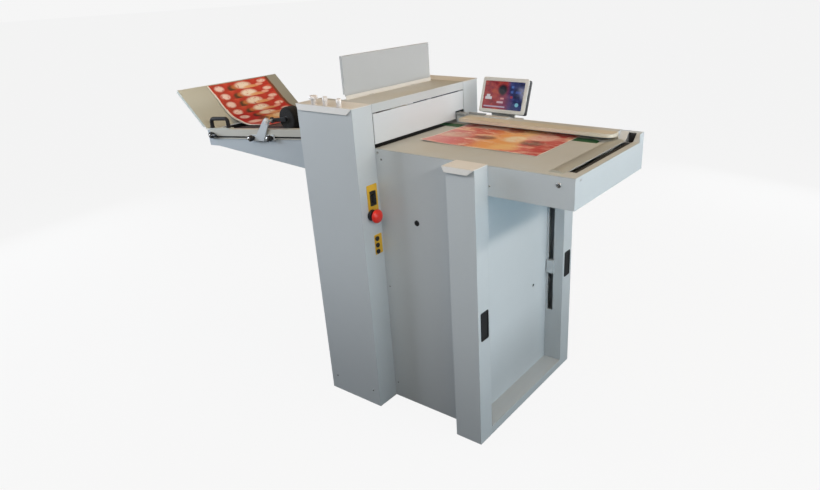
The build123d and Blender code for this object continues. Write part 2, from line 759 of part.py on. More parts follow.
face_normal = (0, -cos(display_lean), sin(display_lean))
face_plane = Plane(origin=on_display(0, 0, 0), x_dir=(1, 0, 0), z_dir=face_normal)
bezel = 13
screen_depth = 3
with BuildPart() as display_mount:
    mount_x = (display_x - 50, display_x + 50)
    block(mount_x, (table_rear - 26, table_rear), (rail_top, rail_top + 3))
    block(mount_x, (table_rear, table_rear + 3), (table_height + 4, rail_top + 3))
    block(mount_x, (table_rear + 3, pivot_y + 24), (table_height + 4, table_height + 8))
    rod_z(display_x, pivot_y + 5, 5.05, (table_height + 4, table_height + 8), Mode.SUBTRACT)
finish(display_mount, "display_mount")

post_z = table_height + 8
with BuildPart() as display_post:
    rod_z(display_x, pivot_y + 5, 5, (post_z - 4, post_z))
    rod_z(display_x, pivot_y + 5, 20, (post_z, post_z + 5))
    rod_z(display_x, pivot_y + 5, 9, (post_z + 5, pivot_z - 8))
    block((display_x - 74, display_x + 26), (pivot_y - 4, pivot_y + 2), (post_z + 1, pivot_z - 14))
    block((display_x - 14, display_x + 14), (pivot_y - 4, pivot_y + 14), (pivot_z - 10, pivot_z + 6))
    rod_x(pivot_y, pivot_z, 4, (display_x - 26, display_x + 26))
finish(display_post, "display_post")

with BuildPart() as display_housing:
    with BuildSketch(face_plane):
        RectangleRounded(display_width, display_tall, 8)
    extrude(amount=-display_thick)
    with BuildSketch(face_plane):
        RectangleRounded(display_width - 2 * bezel, display_tall - 2 * bezel, 3)
    extrude(amount=-screen_depth, mode=Mode.SUBTRACT)
    for lug in (-22, 15):
        lug_x = (display_x + lug, display_x + lug + 7)
        rod_x(pivot_y, pivot_z, 8, lug_x)
        with BuildSketch(Plane.YZ.offset(lug_x[0])):
            with BuildLine():
                back_high = on_display(0, 10, display_thick - 1)[1:]
                back_low = on_display(0, -10, display_thick - 1)[1:]
                pin_high = on_display(0, 6, pivot_reach)[1:]
                pin_low = on_display(0, -6, pivot_reach)[1:]
                Polyline(back_high, back_low, pin_low, pin_high, close=True)
            make_face()
        extrude(amount=7)
    rod_x(pivot_y, pivot_z, 4.05, (display_x - 24, display_x + 24), Mode.SUBTRACT)
finish(display_housing, "display_housing")

with BuildPart() as display_screen:
    with BuildSketch(face_plane.offset(-screen_depth)):
        RectangleRounded(display_width - 2 * bezel - gap, display_tall - 2 * bezel - gap, 3)
    extrude(amount=screen_depth - 1)
finish(display_screen, "display_screen")

# ================================================================== controls
plate_thick = 1.5
face = tower_right
upper_plate = ((-307.5, -259.5), (738, 838))
lower_plate = ((-292.5, -256.5), (592, 663))
with BuildPart() as label_plates:
    for y, z in (upper_plate, lower_plate):
        block((face, face + plate_thick), y, z)
    rod_x(stop_y, stop_z, 19.5, (face, face + plate_thick), Mode.SUBTRACT)
    block((face, face + plate_thick), (socket_y - switch_body[0] / 2, socket_y + switch_body[0] / 2),
          (switch_z - switch_body[1] / 2, switch_z + switch_body[1] / 2), Mode.SUBTRACT)
    for height in button_heights:
        rod_x(socket_y, height, button_hole, (face, face + plate_thick), Mode.SUBTRACT)
finish(label_plates, "label_plates")

button_face = face + plate_thick
with BuildPart() as switch_sockets:
    rod_x(stop_y, stop_z, 19, (face, face + 12))
    rod_x(stop_y, stop_z, barrel_radius, (face - 40, face))
    rod_x(stop_y, stop_z, 7, (face - 6, face + 12), Mode.SUBTRACT)
    block((button_face, button_face + 4), (socket_y - 13, socket_y + 13), (switch_z - 25, switch_z + 25))
    block((face - 22, button_face), (socket_y - 9, socket_y + 9), (switch_z - 18, switch_z + 18))
    block((button_face - 8, button_face + 4), (socket_y - 7.5, socket_y + 7.5),
          (switch_z - 16, switch_z + 16), Mode.SUBTRACT)
finish(switch_sockets, "switch_sockets")

stop_travel = 4
stop_head_radius = 20
stop_head = (16, 31)
with BuildPart() as stop_button:
    rod_x(stop_y, stop_z, stop_head_radius, (face + stop_head[0], face + stop_head[1]))
    fillet(stop_button.faces().sort_by(Axis.X)[-1].edges(), 9)
    chamfer(stop_button.faces().sort_by(Axis.X)[0].edges(), 2)
    rod_x(stop_y, stop_z, 6.9, (face - 6 + stop_travel + 0.5, face + stop_head[0]))
finish(stop_button, "stop_button")

rocker_axis_x = button_face + 1
rocker_top = button_face + 5.2
rocker_reach = 13.5
with BuildPart() as power_rocker:
    with BuildSketch(Plane.XZ.offset(-(socket_y + 7.2))):
        with BuildLine():
            Polyline((rocker_top, switch_z), (rocker_top + 1.4, switch_z + rocker_reach),
                     (rocker_axis_x - 1, switch_z + rocker_reach), (rocker_axis_x - 4, switch_z),
                     (rocker_axis_x - 1, switch_z - rocker_reach),
                     (rocker_top + 1.4, switch_z - rocker_reach), close=True)
        make_face()
    extrude(amount=14.4)
finish(power_rocker, "power_rocker")

for label, height in zip(("top_button", "middle_button", "bottom_button"), button_heights):
    with BuildPart() as push_button:
        rod_x(socket_y, height, button_hole - 0.1, (face - 8, button_face + 3.5))
        rod_x(socket_y, height, 7.5, (button_face + 3.5, button_face + 6.5))
        fillet(push_button.faces().sort_by(Axis.X)[-1].edges(), 1)
    finish(push_button, label)

knob_tops = (28, 28, 26)
for label, place, tall in zip(("left_knob", "middle_knob", "right_knob"), knob_places, knob_tops):
    with BuildPart() as adjuster_knob:
        rod_z(*place, knob_stem, (head_height - 30, head_height))
        rod_z(*place, knob_radius, (head_height + 0.2, head_height + tall))
        rod_z(*place, knob_stem, (head_height, head_height + 0.2))
        if label == "left_knob":
            rod_z(*place, knob_radius + 5, (head_height + tall - 11, head_height + tall))
        fillet(adjuster_knob.faces().sort_by(Axis.Z)[-1].edges(), 1)
    finish(adjuster_knob, label)

with BuildPart() as cover_screws:
    for x, y, z, radius, rise in (
        (table_end - 49, -side, table_height - 25, 8, 3.5),
        (tower_right + 22, -side, table_height - 34, 4, 1.2),
        (tower_right + 9, -side, table_height - 13, 4, 1.2),
        (right + 6, -side, skirt_bottom + 30, 3, 1),
    ):
        rod_y(x, z, radius, (y - rise, y))
    for x in (tower_right - 30, tower_right - 214):
        rod_y(x, 60, 3.5, (-tower_side - 1.5, -tower_side))
        rod_y(x, 60, 3.5, (tower_side, tower_side + 1.5))
finish(cover_screws, "cover_screws")

# ================================================================== sheets being folded
paper = 0.4
with BuildPart() as printed_sheet:
    block((-28, 415), (-101, 199), (belt_top, belt_top + paper))
finish(printed_sheet, "printed_sheet")

stack_y = (-120, 195)
stack_thick = 5
stack_gap = 0.6
curl_start = on_tray(28, stack_gap)
curl_end = on_delivery(585, belt_above + delivery_belt_thickness + stack_gap)
tail_end = on_delivery(440, belt_above + delivery_belt_thickness + stack_gap)
with BuildPart() as folded_sheets:
    with BuildSketch(Plane.XZ.offset(-stack_y[1])):
        with BuildLine():
            head_low = on_tray(tray_length - 6, stack_gap)
            head_high = on_tray(tray_length - 6, stack_gap + stack_thick)
            curl_high = on_tray(40, stack_gap + stack_thick)
            rest_high = on_delivery(555, belt_above + delivery_belt_thickness + stack_gap + stack_thick)
            tail_high = on_delivery(440, belt_above + delivery_belt_thickness + stack_gap + stack_thick)
            Polyline(rest_high, tail_high, tail_end, curl_end, curl_start, head_low, head_high, curl_high,
                     close=True)
        make_face()
    extrude(amount=stack_y[1] - stack_y[0])
finish(folded_sheets, "folded_sheets")
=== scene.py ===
import json
import math

import bmesh
import bpy
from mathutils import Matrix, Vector

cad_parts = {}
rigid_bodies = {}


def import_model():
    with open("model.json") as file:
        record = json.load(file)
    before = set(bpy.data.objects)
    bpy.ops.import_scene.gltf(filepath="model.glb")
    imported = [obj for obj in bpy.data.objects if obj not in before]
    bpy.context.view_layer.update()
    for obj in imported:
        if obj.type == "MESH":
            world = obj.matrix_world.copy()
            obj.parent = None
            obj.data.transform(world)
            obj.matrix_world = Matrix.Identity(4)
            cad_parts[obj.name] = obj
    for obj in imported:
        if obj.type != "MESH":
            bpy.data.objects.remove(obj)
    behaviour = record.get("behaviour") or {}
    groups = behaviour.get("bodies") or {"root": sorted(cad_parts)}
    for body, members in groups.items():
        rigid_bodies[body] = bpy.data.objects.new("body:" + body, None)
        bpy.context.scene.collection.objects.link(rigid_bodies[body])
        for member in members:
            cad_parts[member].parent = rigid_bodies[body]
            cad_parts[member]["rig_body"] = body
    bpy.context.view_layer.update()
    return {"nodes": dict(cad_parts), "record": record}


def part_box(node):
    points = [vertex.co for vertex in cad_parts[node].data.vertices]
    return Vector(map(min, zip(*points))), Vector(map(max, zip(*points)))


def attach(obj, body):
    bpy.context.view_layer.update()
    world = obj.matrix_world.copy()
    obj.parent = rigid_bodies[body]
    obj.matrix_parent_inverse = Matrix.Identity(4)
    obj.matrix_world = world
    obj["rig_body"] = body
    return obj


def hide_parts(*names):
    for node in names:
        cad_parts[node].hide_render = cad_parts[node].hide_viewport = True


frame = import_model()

nodes = frame["nodes"]


# ------------------------------------------------------------------ colours and shader helpers
def srgb(red, green, blue):
    """Linear colour from display values out of 255."""
    def linear(value):
        value = value / 255
        return value / 12.92 if value <= 0.04045 else ((value + 0.055) / 1.055) ** 2.4
    return linear(red), linear(green), linear(blue), 1.0


def scaled(colour, factor):
    return tuple(min(1.0, channel * factor) for channel in colour[:3]) + (1.0,)


class Shader:
    """Builds one node material step by step."""

    def __init__(self, name):
        self.material = bpy.data.materials.new(name)
        self.material.use_nodes = True
        self.tree = self.material.node_tree
        self.tree.nodes.clear()

    def put(self, socket, value):
        if isinstance(value, bpy.types.NodeSocket):
            self.tree.links.new(value, socket)
        else:
            socket.default_value = value

    def add(self, kind, inputs=None, **settings):
        node = self.tree.nodes.new("ShaderNode" + kind)
        for key, value in settings.items():
            setattr(node, key, value)
        for key, value in (inputs or {}).items():
            self.put(node.inputs[key], value)
        return node

    def math(self, operation, first, second=0.0, clamp=False):
        node = self.add("Math", {0: first, 1: second}, operation=operation, use_clamp=clamp)
        return node.outputs[0]

    def mix(self, factor, first, second):
        return self.add("Mix", {0: factor, 6: first, 7: second}, data_type="RGBA").outputs[2]

    def ranged(self, value, low, high, to_low=0.0, to_high=1.0, smooth=False):
        node = self.add("MapRange", {0: value, 1: low, 2: high, 3: to_low, 4: to_high},
                        interpolation_type="SMOOTHSTEP" if smooth else "LINEAR")
        return node.outputs[0]

    def place(self, stretch=(1, 1, 1)):
        coordinates = self.add("TexCoord").outputs["Object"]
        return self.add("Mapping", {"Vector": coordinates, "Scale": stretch}).outputs[0]

    def sheet_place(self):
        """Place on a mapped sheet: the whole coordinate, then its two shares from 0 to 1."""
        uv = self.add("TexCoord").outputs["UV"]
        shares = self.add("SeparateXYZ", {0: uv}).outputs
        return uv, shares[0], shares[1]

    def noise(self, vector, scale, detail=2.0, roughness=0.5, distortion=0.0):
        node = self.add("TexNoise", {"Vector": vector, "Scale": scale, "Detail": detail,
                                     "Roughness": roughness, "Distortion": distortion})
        return node.outputs[0]

    def ramp(self, value, stops):
        node = self.add("ValToRGB", {0: value})
        ramp = node.color_ramp
        while len(ramp.elements) < len(stops):
            ramp.elements.new(0.5)
        for element, (place, colour) in zip(ramp.elements, stops):
            element.position = place
            element.color = colour
        return node.outputs[0]

    def relief(self, height, strength, distance, **normal):
        inputs = {"Strength": strength, "Distance": distance, "Height": height, **normal}
        return self.add("Bump", inputs).outputs[0]

    def close(self, **inputs):
        """Principled surface from the given inputs."""
        names = {key.replace("_", " "): value for key, value in inputs.items()}
        surface = self.add("BsdfPrincipled", names)
        output = self.add("OutputMaterial")
        self.tree.links.new(surface.outputs[0], output.inputs[0])
        return self.material


def finish(name, colour, roughness, metallic=0.0, mottle=0.05, mottle_size=0.2, grain=0.0008,
           grain_depth=0.12, brush=None, wear=0.35, wear_colour=None, edge=0.0012, dust=0.0,
           coat=0.0, fade=None):
    """Painted, metal, rubber or moulded surface with tone variation, fine relief, lighter edges that are partly
    rubbed wear and partly a painted highlight, and painted warm light on up-facing tops.

    fade is (axis, start, end, share at start, share at end) and darkens the tone towards black along one axis
    as painted shade.
    """
    shader = Shader(name)
    place = shader.place()
    cloud = shader.noise(place, 1 / mottle_size, 4.0, 0.55)
    fine_place = shader.place(brush) if brush else place
    speck = shader.noise(fine_place, 1 / grain, 2.0, 0.6)
    tone = shader.mix(cloud, scaled(colour, 1 - mottle), scaled(colour, 1 + mottle))
    # Painted shade: the tone is darkened towards black along one axis.
    if fade:
        axis, *span = fade
        position = shader.add("SeparateXYZ", {0: place}).outputs[axis]
        tone = shader.mix(shader.ranged(position, *span, True), (0.0, 0.0, 0.0, 1.0), tone)
    tone = shader.mix(shader.ranged(speck, 0.3, 0.7, 0.0, 0.10), tone, scaled(colour, 0.72))

    # Lighter rim on the edges, in patches: partly rubbed wear, partly a painted edge highlight.
    rounded = shader.add("Bevel", {"Radius": edge}, samples=3).outputs[0]
    flat = shader.add("NewGeometry").outputs["Normal"]
    turn = shader.add("VectorMath", {0: rounded, 1: flat}, operation="DOT_PRODUCT").outputs["Value"]
    scuff = shader.noise(place, 45, 3.0, 0.7)
    rubbed_and_lit_edge = shader.math("MULTIPLY", shader.ranged(turn, 0.995, 0.86), shader.ranged(scuff, 0.42, 0.62), True)
    rubbed_and_lit_edge = shader.math("MULTIPLY", rubbed_and_lit_edge, wear)
    tone = shader.mix(rubbed_and_lit_edge, tone, wear_colour or scaled(colour, 1.35))
    # Painted warm light: up-facing faces take a beige tint in patches, as light falling from above.
    if dust:
        up = shader.add("SeparateXYZ", {0: flat}).outputs[2]
        patches = shader.ranged(cloud, 0.35, 0.75, 0.2, 1.0)
        lit_tops = shader.math("MULTIPLY", shader.ranged(up, 0.5, 1.0), patches)
        tone = shader.mix(shader.math("MULTIPLY", lit_tops, dust), tone, srgb(178, 168, 148))

    polish = shader.noise(place, 9, 3.0, 0.6)
    sheen = shader.math("ADD", shader.ranged(polish, 0.3, 0.7, roughness * 0.86, roughness * 1.14),
                        shader.ranged(speck, 0.3, 0.7, -0.03, 0.03))
    relief = shader.relief(speck, grain_depth, 0.0004, Normal=rounded)
    return shader.close(Base_Color=tone, Roughness=sheen, Metallic=metallic, Normal=relief,
                        Coat_Weight=coat, Coat_Roughness=0.25)


def painted(name, colour, **changes):
    """Powder-coated sheet metal: its usual finish with the given values changed."""
    usual = {"roughness": 0.46, "mottle": 0.045, "mottle_size": 0.35, "grain": 0.0011, "grain_depth": 0.10,
             "wear": 0.5, "wear_colour": srgb(236, 238, 238), "edge": 0.0016}
    return finish(name, colour, **(usual | changes))


# ------------------------------------------------------------------ painted surfaces
# Cover paint darkens towards the floor: painted shade.
cover_paint = painted("cover_paint", srgb(205, 211, 214), dust=0.6, fade=(2, 0.0, 0.62, 0.74, 1.0))
head_paint = painted("head_paint", srgb(200, 205, 206), dust=0.8)
# Recess paint darkens towards the recess floor: painted shade.
bay_paint = painted("bay_paint", srgb(208, 214, 217), dust=0.3, fade=(2, 0.04, 0.42, 0.68, 1.06))
bed_paint = painted("bed_paint", srgb(194, 199, 198), mottle=0.05, mottle_size=0.25,
                    wear_colour=srgb(228, 230, 226), dust=0.55)
pan_paint = painted("pan_paint", srgb(190, 198, 203), mottle_size=0.3, wear_colour=srgb(224, 228, 230),
                    dust=0.5)
# Lighter copy of the cover paint for the post caps: painted light on their tops and lips.
lit_cap_paint = painted("lit_cap_paint", srgb(232, 230, 226), roughness=0.44, mottle=0.04, mottle_size=0.3,
                    wear_colour=srgb(240, 238, 232), dust=0.25)
flap_paint = painted("flap_paint", srgb(215, 219, 222), mottle=0.04, wear_colour=srgb(240, 240, 238))
# Beige copy of the grey cover paint for the belt guard: painted warm light.
warm_lit_guard_paint = painted("warm_lit_guard_paint", srgb(212, 204, 186), mottle=0.05, mottle_size=0.3,
                      wear_colour=srgb(238, 236, 230), dust=0.3)
# Tray paint darkens towards its rear side: painted shade.
tray_paint = painted("tray_paint", srgb(206, 212, 204), roughness=0.48, mottle=0.05, mottle_size=0.3,
                     wear=0.3, wear_colour=srgb(216, 212, 200), dust=0.6, fade=(1, -0.24, 0.24, 1.0, 0.52))
lid_paint = painted("lid_paint", srgb(188, 190, 191), mottle=0.05, mottle_size=0.3)
lid_foot_paint = painted("lid_foot_paint", srgb(226, 224, 218), roughness=0.42, mottle=0.03, mottle_size=0.2,
                         wear=0.4, wear_colour=None, edge=0.0012)

# ------------------------------------------------------------------ metal, rubber and moulded surfaces
frame_steel = finish("frame_steel", srgb(120, 124, 128), 0.42, metallic=0.85, mottle=0.10, brush=(30, 1, 30))
bright_steel = finish("bright_steel", srgb(196, 194, 190), 0.26, metallic=1.0, mottle_size=0.05,
                      grain=0.0006, brush=(1, 12, 12), wear=0.3)
guide_steel = finish("guide_steel", srgb(186, 184, 172), 0.36, metallic=0.35, mottle=0.06, grain=0.0009,
                     brush=(1, 0.05, 1), wear=0.4)
roller_steel = finish("roller_steel", srgb(176, 176, 174), 0.32, metallic=0.95, mottle=0.08,
                      brush=(20, 1, 20))
aluminium_rail = finish("aluminium_rail", srgb(206, 203, 192), 0.42, metallic=0.15, grain=0.0009,
                        brush=(0.04, 1, 1), wear=0.5)
black_rubber = finish("black_rubber", srgb(30, 30, 31), 0.72, mottle=0.2, mottle_size=0.03, grain=0.0011,
                      grain_depth=0.5, wear=0.25, wear_colour=srgb(74, 72, 70))
green_belt = finish("green_belt", srgb(38, 92, 56), 0.62, mottle=0.12, mottle_size=0.06, grain=0.0012,
                    grain_depth=0.5, brush=(0.4, 1, 1), wear=0.4, wear_colour=srgb(112, 140, 110))
dark_belt = finish("dark_belt", srgb(52, 44, 50), 0.66, mottle=0.14, mottle_size=0.05, grain=0.0012,
                   grain_depth=0.5, brush=(0.4, 1, 1), wear=0.3)
black_plastic = finish("black_plastic", srgb(24, 25, 28), 0.40, mottle=0.14, mottle_size=0.04, grain=0.0007,
                       grain_depth=0.2, wear=0.4, wear_colour=srgb(92, 94, 98), edge=0.0008)
rocker_black = finish("rocker_black", srgb(18, 18, 20), 0.30, mottle=0.12, mottle_size=0.02, grain=0.0006,
                      grain_depth=0.08, wear=0.3, wear_colour=srgb(90, 92, 96), edge=0.0006)
sensor_grey = finish("sensor_grey", srgb(146, 150, 152), 0.48, mottle=0.08, mottle_size=0.03, wear=0.4)
pulley_plastic = finish("pulley_plastic", srgb(58, 60, 62), 0.48, mottle=0.1, mottle_size=0.05)
motor_black = finish("motor_black", srgb(36, 37, 40), 0.5, mottle=0.12, mottle_size=0.06)
display_shell = finish("display_shell", srgb(214, 216, 214), 0.44, mottle=0.04, mottle_size=0.07,
                       grain=0.0007, grain_depth=0.16, wear=0.3)
display_back = finish("display_back", srgb(30, 31, 34), 0.46, mottle=0.12, mottle_size=0.05,
                      grain_depth=0.2, wear=0.3, wear_colour=srgb(84, 86, 90))
stop_red = finish("stop_red", srgb(244, 48, 32), 0.34, mottle=0.10, mottle_size=0.02,
                  grain_depth=0.06, wear=0.3, wear_colour=srgb(250, 120, 96), coat=0.3)
label_yellow = finish("label_yellow", srgb(236, 186, 52), 0.42, mottle=0.08, mottle_size=0.03,
                      wear=0.4, wear_colour=srgb(250, 222, 140))
knob_bright = finish("knob_bright", srgb(240, 234, 230), 0.28, metallic=0.15, mottle_size=0.01,
                     grain=0.0005, wear=0.3)


def foam_material():
    """Open-cell black foam: pits, soft tone changes and greyed high spots."""
    shader = Shader("foam")
    place = shader.place()
    cells = shader.add("TexVoronoi", {"Vector": place, "Scale": 620.0}).outputs["Distance"]
    coarse = shader.noise(place, 90, 4.0, 0.7)
    tone = shader.mix(coarse, srgb(8, 8, 9), srgb(24, 23, 24))
    tone = shader.mix(shader.ranged(cells, 0.35, 0.75, 0.0, 0.4), tone, srgb(44, 42, 42))
    height = shader.math("ADD", cells, shader.math("MULTIPLY", coarse, 1.4))
    rough = shader.ranged(coarse, 0.3, 0.7, 0.82, 0.95)
    return shader.close(Base_Color=tone, Roughness=rough, Normal=shader.relief(height, 0.8, 0.0009),
                        Sheen_Weight=0.05, Sheen_Roughness=0.5)


# ------------------------------------------------------------------ prints and screen
def coated_print(shader, place, tone, roughness):
    """Varnished paper with the given print, a faint fibre relief and a slight wave."""
    fibre = shader.noise(place, 1500, 3.0, 0.7)
    wave = shader.noise(place, 14, 2.0, 0.4)
    height = shader.math("ADD", shader.math("MULTIPLY", fibre, 0.08), wave)
    return shader.close(Base_Color=tone, Roughness=roughness, Normal=shader.relief(height, 0.12, 0.001),
                        Coat_Weight=0.25, Coat_Roughness=0.3)


def inside(shader, value, low, high, soft=0.004):
    rise = shader.ranged(value, low - soft, low + soft)
    fall = shader.ranged(value, high - soft, high + soft, 1.0, 0.0)
    return shader.math("MULTIPLY", rise, fall)


def disc(shader, u, v, centre, radius, soft):
    """Soft ellipse mask round a place on the sheet."""
    across = shader.math("DIVIDE", shader.math("SUBTRACT", u, centre[0]), radius[0])
    along = shader.math("DIVIDE", shader.math("SUBTRACT", v, centre[1]), radius[1])
    square = shader.math("ADD", *(shader.math("MULTIPLY", part, part) for part in (across, along)))
    return shader.ranged(square, 1.0 - soft, 1.0 + soft, 1.0, 0.0, True)


def blots(shader, u, v, tone, breakup, soft, entries):
    """Lay soft ellipses over a tone: (centre, radius, colour, strength) each, with broken edges."""
    for centre, radius, colour, strength in entries:
        mask = shader.math("MULTIPLY", disc(shader, u, v, centre, radius, soft), breakup)
        tone = shader.mix(shader.math("MULTIPLY", mask, strength), tone, colour)
    return tone


def sheet_print():
    """Flowing rose, orange and cream cloud print for the flat sheet on the table."""
    shader = Shader("sheet_print")
    place = shader.place()
    uv, u, v = shader.sheet_place()
    sway = shader.math("SUBTRACT", shader.noise(uv, 2.6, 3.0, 0.6, 0.8), 0.5)
    drift = shader.math("ADD", u, shader.math("MULTIPLY", sway, 0.28))
    tone = shader.ramp(drift, [(0.0, srgb(218, 140, 138)), (0.20, srgb(218, 96, 94)),
                               (0.34, srgb(222, 108, 78)), (0.50, srgb(248, 172, 88)),
                               (0.66, srgb(246, 200, 140)), (0.74, srgb(226, 100, 84)),
                               (0.95, srgb(196, 40, 40))])
    streaks = (
        ((1.0, 1.8, 1), 3.4, 0.48, 0.62, srgb(250, 218, 186), 0.80),
        ((0.8, 2.2, 1), 4.6, 0.55, 0.65, srgb(253, 240, 220), 0.85),
        ((1.2, 2.0, 1), 3.9, 0.60, 0.72, srgb(128, 40, 34), 0.70),
        ((1.6, 1.6, 1), 7.5, 0.60, 0.70, srgb(186, 44, 42), 0.60),
    )
    for stretch, scale, low, high, colour, strength in streaks:
        bent = shader.add("Mapping", {"Vector": uv, "Scale": stretch}).outputs[0]
        mask = shader.ranged(shader.noise(bent, scale, 4.0, 0.62, 1.5), low, high, smooth=True)
        tone = shader.mix(shader.math("MULTIPLY", mask, strength), tone, colour)
    breakup = shader.ranged(shader.noise(uv, 13.0, 4.0, 0.65, 0.8), 0.28, 0.50)
    tone = blots(shader, u, v, tone, breakup, 0.75, (
        ((0.56, 0.36), (0.15, 0.34), srgb(246, 172, 84), 0.75),
        ((0.68, 0.16), (0.11, 0.13), srgb(250, 206, 132), 0.85),
        ((0.62, 0.52), (0.08, 0.14), srgb(250, 234, 200), 0.95),
        ((0.39, 0.44), (0.09, 0.08), srgb(98, 62, 46), 0.80),
        ((0.80, 0.44), (0.09, 0.11), srgb(92, 66, 58), 0.80),
        ((0.80, 0.70), (0.13, 0.13), srgb(238, 200, 188), 0.85),
        ((0.30, 0.90), (0.17, 0.07), srgb(248, 224, 208), 0.90),
        ((0.50, 0.88), (0.08, 0.10), srgb(168, 32, 34), 0.80),
        ((0.13, 0.42), (0.12, 0.12), srgb(214, 178, 160), 0.80),
        ((0.93, 0.40), (0.06, 0.40), srgb(196, 52, 52), 0.60),
    ))
    dots = shader.noise(place, 900, 1.0)
    tone = shader.mix(shader.ranged(dots, 0.35, 0.65, 0.0, 0.10), tone, srgb(120, 50, 40))
    margin = shader.math("MULTIPLY", inside(shader, u, 0.006, 0.994), inside(shader, v, 0.008, 0.992))
    tone = shader.mix(margin, srgb(238, 236, 230), tone)
    return coated_print(shader, place, tone, 0.38)


def folded_print():
    """Red print with rows of pale and dark motifs that repeat on each fanned sheet."""
    shader = Shader("folded_print")
    place = shader.place()
    uv, u, v = shader.sheet_place()
    tone = shader.ramp(shader.noise(uv, 6.0, 4.0, 0.6, 0.8),
                       [(0.25, srgb(150, 20, 26)), (0.45, srgb(190, 28, 30)), (0.60, srgb(206, 46, 42)),
                        (0.80, srgb(216, 92, 72))])
    breakup = shader.ranged(shader.noise(place, 62, 3.0, 0.6), 0.24, 0.46, smooth=True)
    tone = blots(shader, u, v, tone, breakup, 0.7, (
        ((0.14, 0.110), (0.066, 0.064), srgb(252, 222, 218), 1.0),
        ((0.33, 0.140), (0.060, 0.070), srgb(66, 30, 14), 1.0),
        ((0.40, 0.120), (0.070, 0.050), srgb(206, 120, 66), 0.9),
        ((0.53, 0.105), (0.120, 0.078), srgb(254, 240, 226), 1.0),
        ((0.64, 0.165), (0.120, 0.038), srgb(236, 176, 122), 0.9),
        ((0.86, 0.075), (0.070, 0.038), srgb(252, 216, 208), 1.0),
        ((0.79, 0.140), (0.060, 0.030), srgb(246, 190, 174), 0.9),
        ((0.52, 0.36), (0.22, 0.14), srgb(238, 190, 122), 0.9),
        ((0.62, 0.32), (0.12, 0.10), srgb(250, 226, 190), 0.9),
        ((0.34, 0.30), (0.08, 0.08), srgb(86, 40, 26), 0.8),
        ((0.16, 0.36), (0.10, 0.07), srgb(248, 210, 200), 0.9),
        ((0.30, 0.62), (0.16, 0.10), srgb(112, 28, 24), 0.8),
        ((0.70, 0.66), (0.18, 0.12), srgb(232, 146, 92), 0.8),
    ))
    # Dark brown band along one side edge of each sheet: painted shade.
    tone = shader.mix(shader.ranged(u, 0.950, 0.962, 0.0, 0.85), tone, srgb(104, 66, 46))
    tone = shader.mix(inside(shader, u, 0.022, 2.0), srgb(244, 238, 234), tone)
    return coated_print(shader, place, tone, 0.36)


def paper_edge_material():
    shader = Shader("paper_edge")
    layers = shader.noise(shader.place((1, 1, 40)), 60, 3.0, 0.6)
    tone = shader.mix(layers, srgb(206, 196, 184), srgb(246, 242, 234))
    return shader.close(Base_Color=tone, Roughness=0.8)


def screen_material():
    """Lit panel with plain coloured fields, pale tiles and a status dot."""
    shader = Shader("display_glass")
    uv, u, v = shader.sheet_place()
    cloud = shader.noise(uv, 5.0, 3.0, 0.6, 0.6)
    warm = shader.ramp(cloud, [(0.3, srgb(118, 26, 44)), (0.5, srgb(176, 48, 54)), (0.68, srgb(200, 88, 60))])
    cool = shader.ramp(cloud, [(0.3, srgb(14, 26, 60)), (0.52, srgb(34, 52, 116)), (0.7, srgb(74, 84, 150))])
    tone = shader.mix(shader.ranged(u, 0.54, 0.68, smooth=True), warm, cool)
    haze = shader.math("MULTIPLY", disc(shader, u, v, (0.58, 0.30), (0.16, 0.34), 0.8), 0.55)
    tone = shader.mix(haze, tone, srgb(112, 46, 104))
    tone = shader.mix(disc(shader, u, v, (0.47, 0.70), (0.11, 0.19), 0.6), tone, srgb(26, 20, 34))
    tiles = (
        ((0.05, 0.22), (0.34, 0.44), srgb(240, 236, 240)),
        ((0.08, 0.17), (0.44, 0.52), srgb(236, 230, 236)),
        ((0.36, 0.52), (0.22, 0.29), srgb(232, 196, 206)),
        ((0.44, 0.53), (0.36, 0.42), srgb(236, 160, 160)),
        ((0.04, 0.58), (0.07, 0.115), srgb(206, 190, 214)),
        ((0.68, 0.74), (0.78, 0.86), srgb(90, 130, 206)),
        ((0.68, 0.74), (0.60, 0.68), srgb(80, 116, 196)),
        ((0.68, 0.74), (0.42, 0.50), srgb(180, 60, 84)),
        ((0.80, 0.94), (0.60, 0.68), srgb(50, 84, 170)),
    )
    for across, upward, colour in tiles:
        tile = shader.math("MULTIPLY", inside(shader, u, *across, 0.006), inside(shader, v, *upward, 0.008))
        tone = shader.mix(tile, tone, colour)
    tone = shader.mix(disc(shader, u, v, (0.87, 0.20), (0.045, 0.07), 0.3), tone, srgb(140, 214, 236))
    smear = shader.noise(shader.place(), 60, 3.0)
    return shader.close(Base_Color=srgb(30, 30, 36), Roughness=shader.ranged(smear, 0.3, 0.7, 0.12, 0.24),
                        Emission_Color=tone, Emission_Strength=0.55, Coat_Weight=0.5, Coat_Roughness=0.1)


foam = foam_material()
flat_print = sheet_print()
stack_print = folded_print()
paper_edge = paper_edge_material()
display_glass = screen_material()


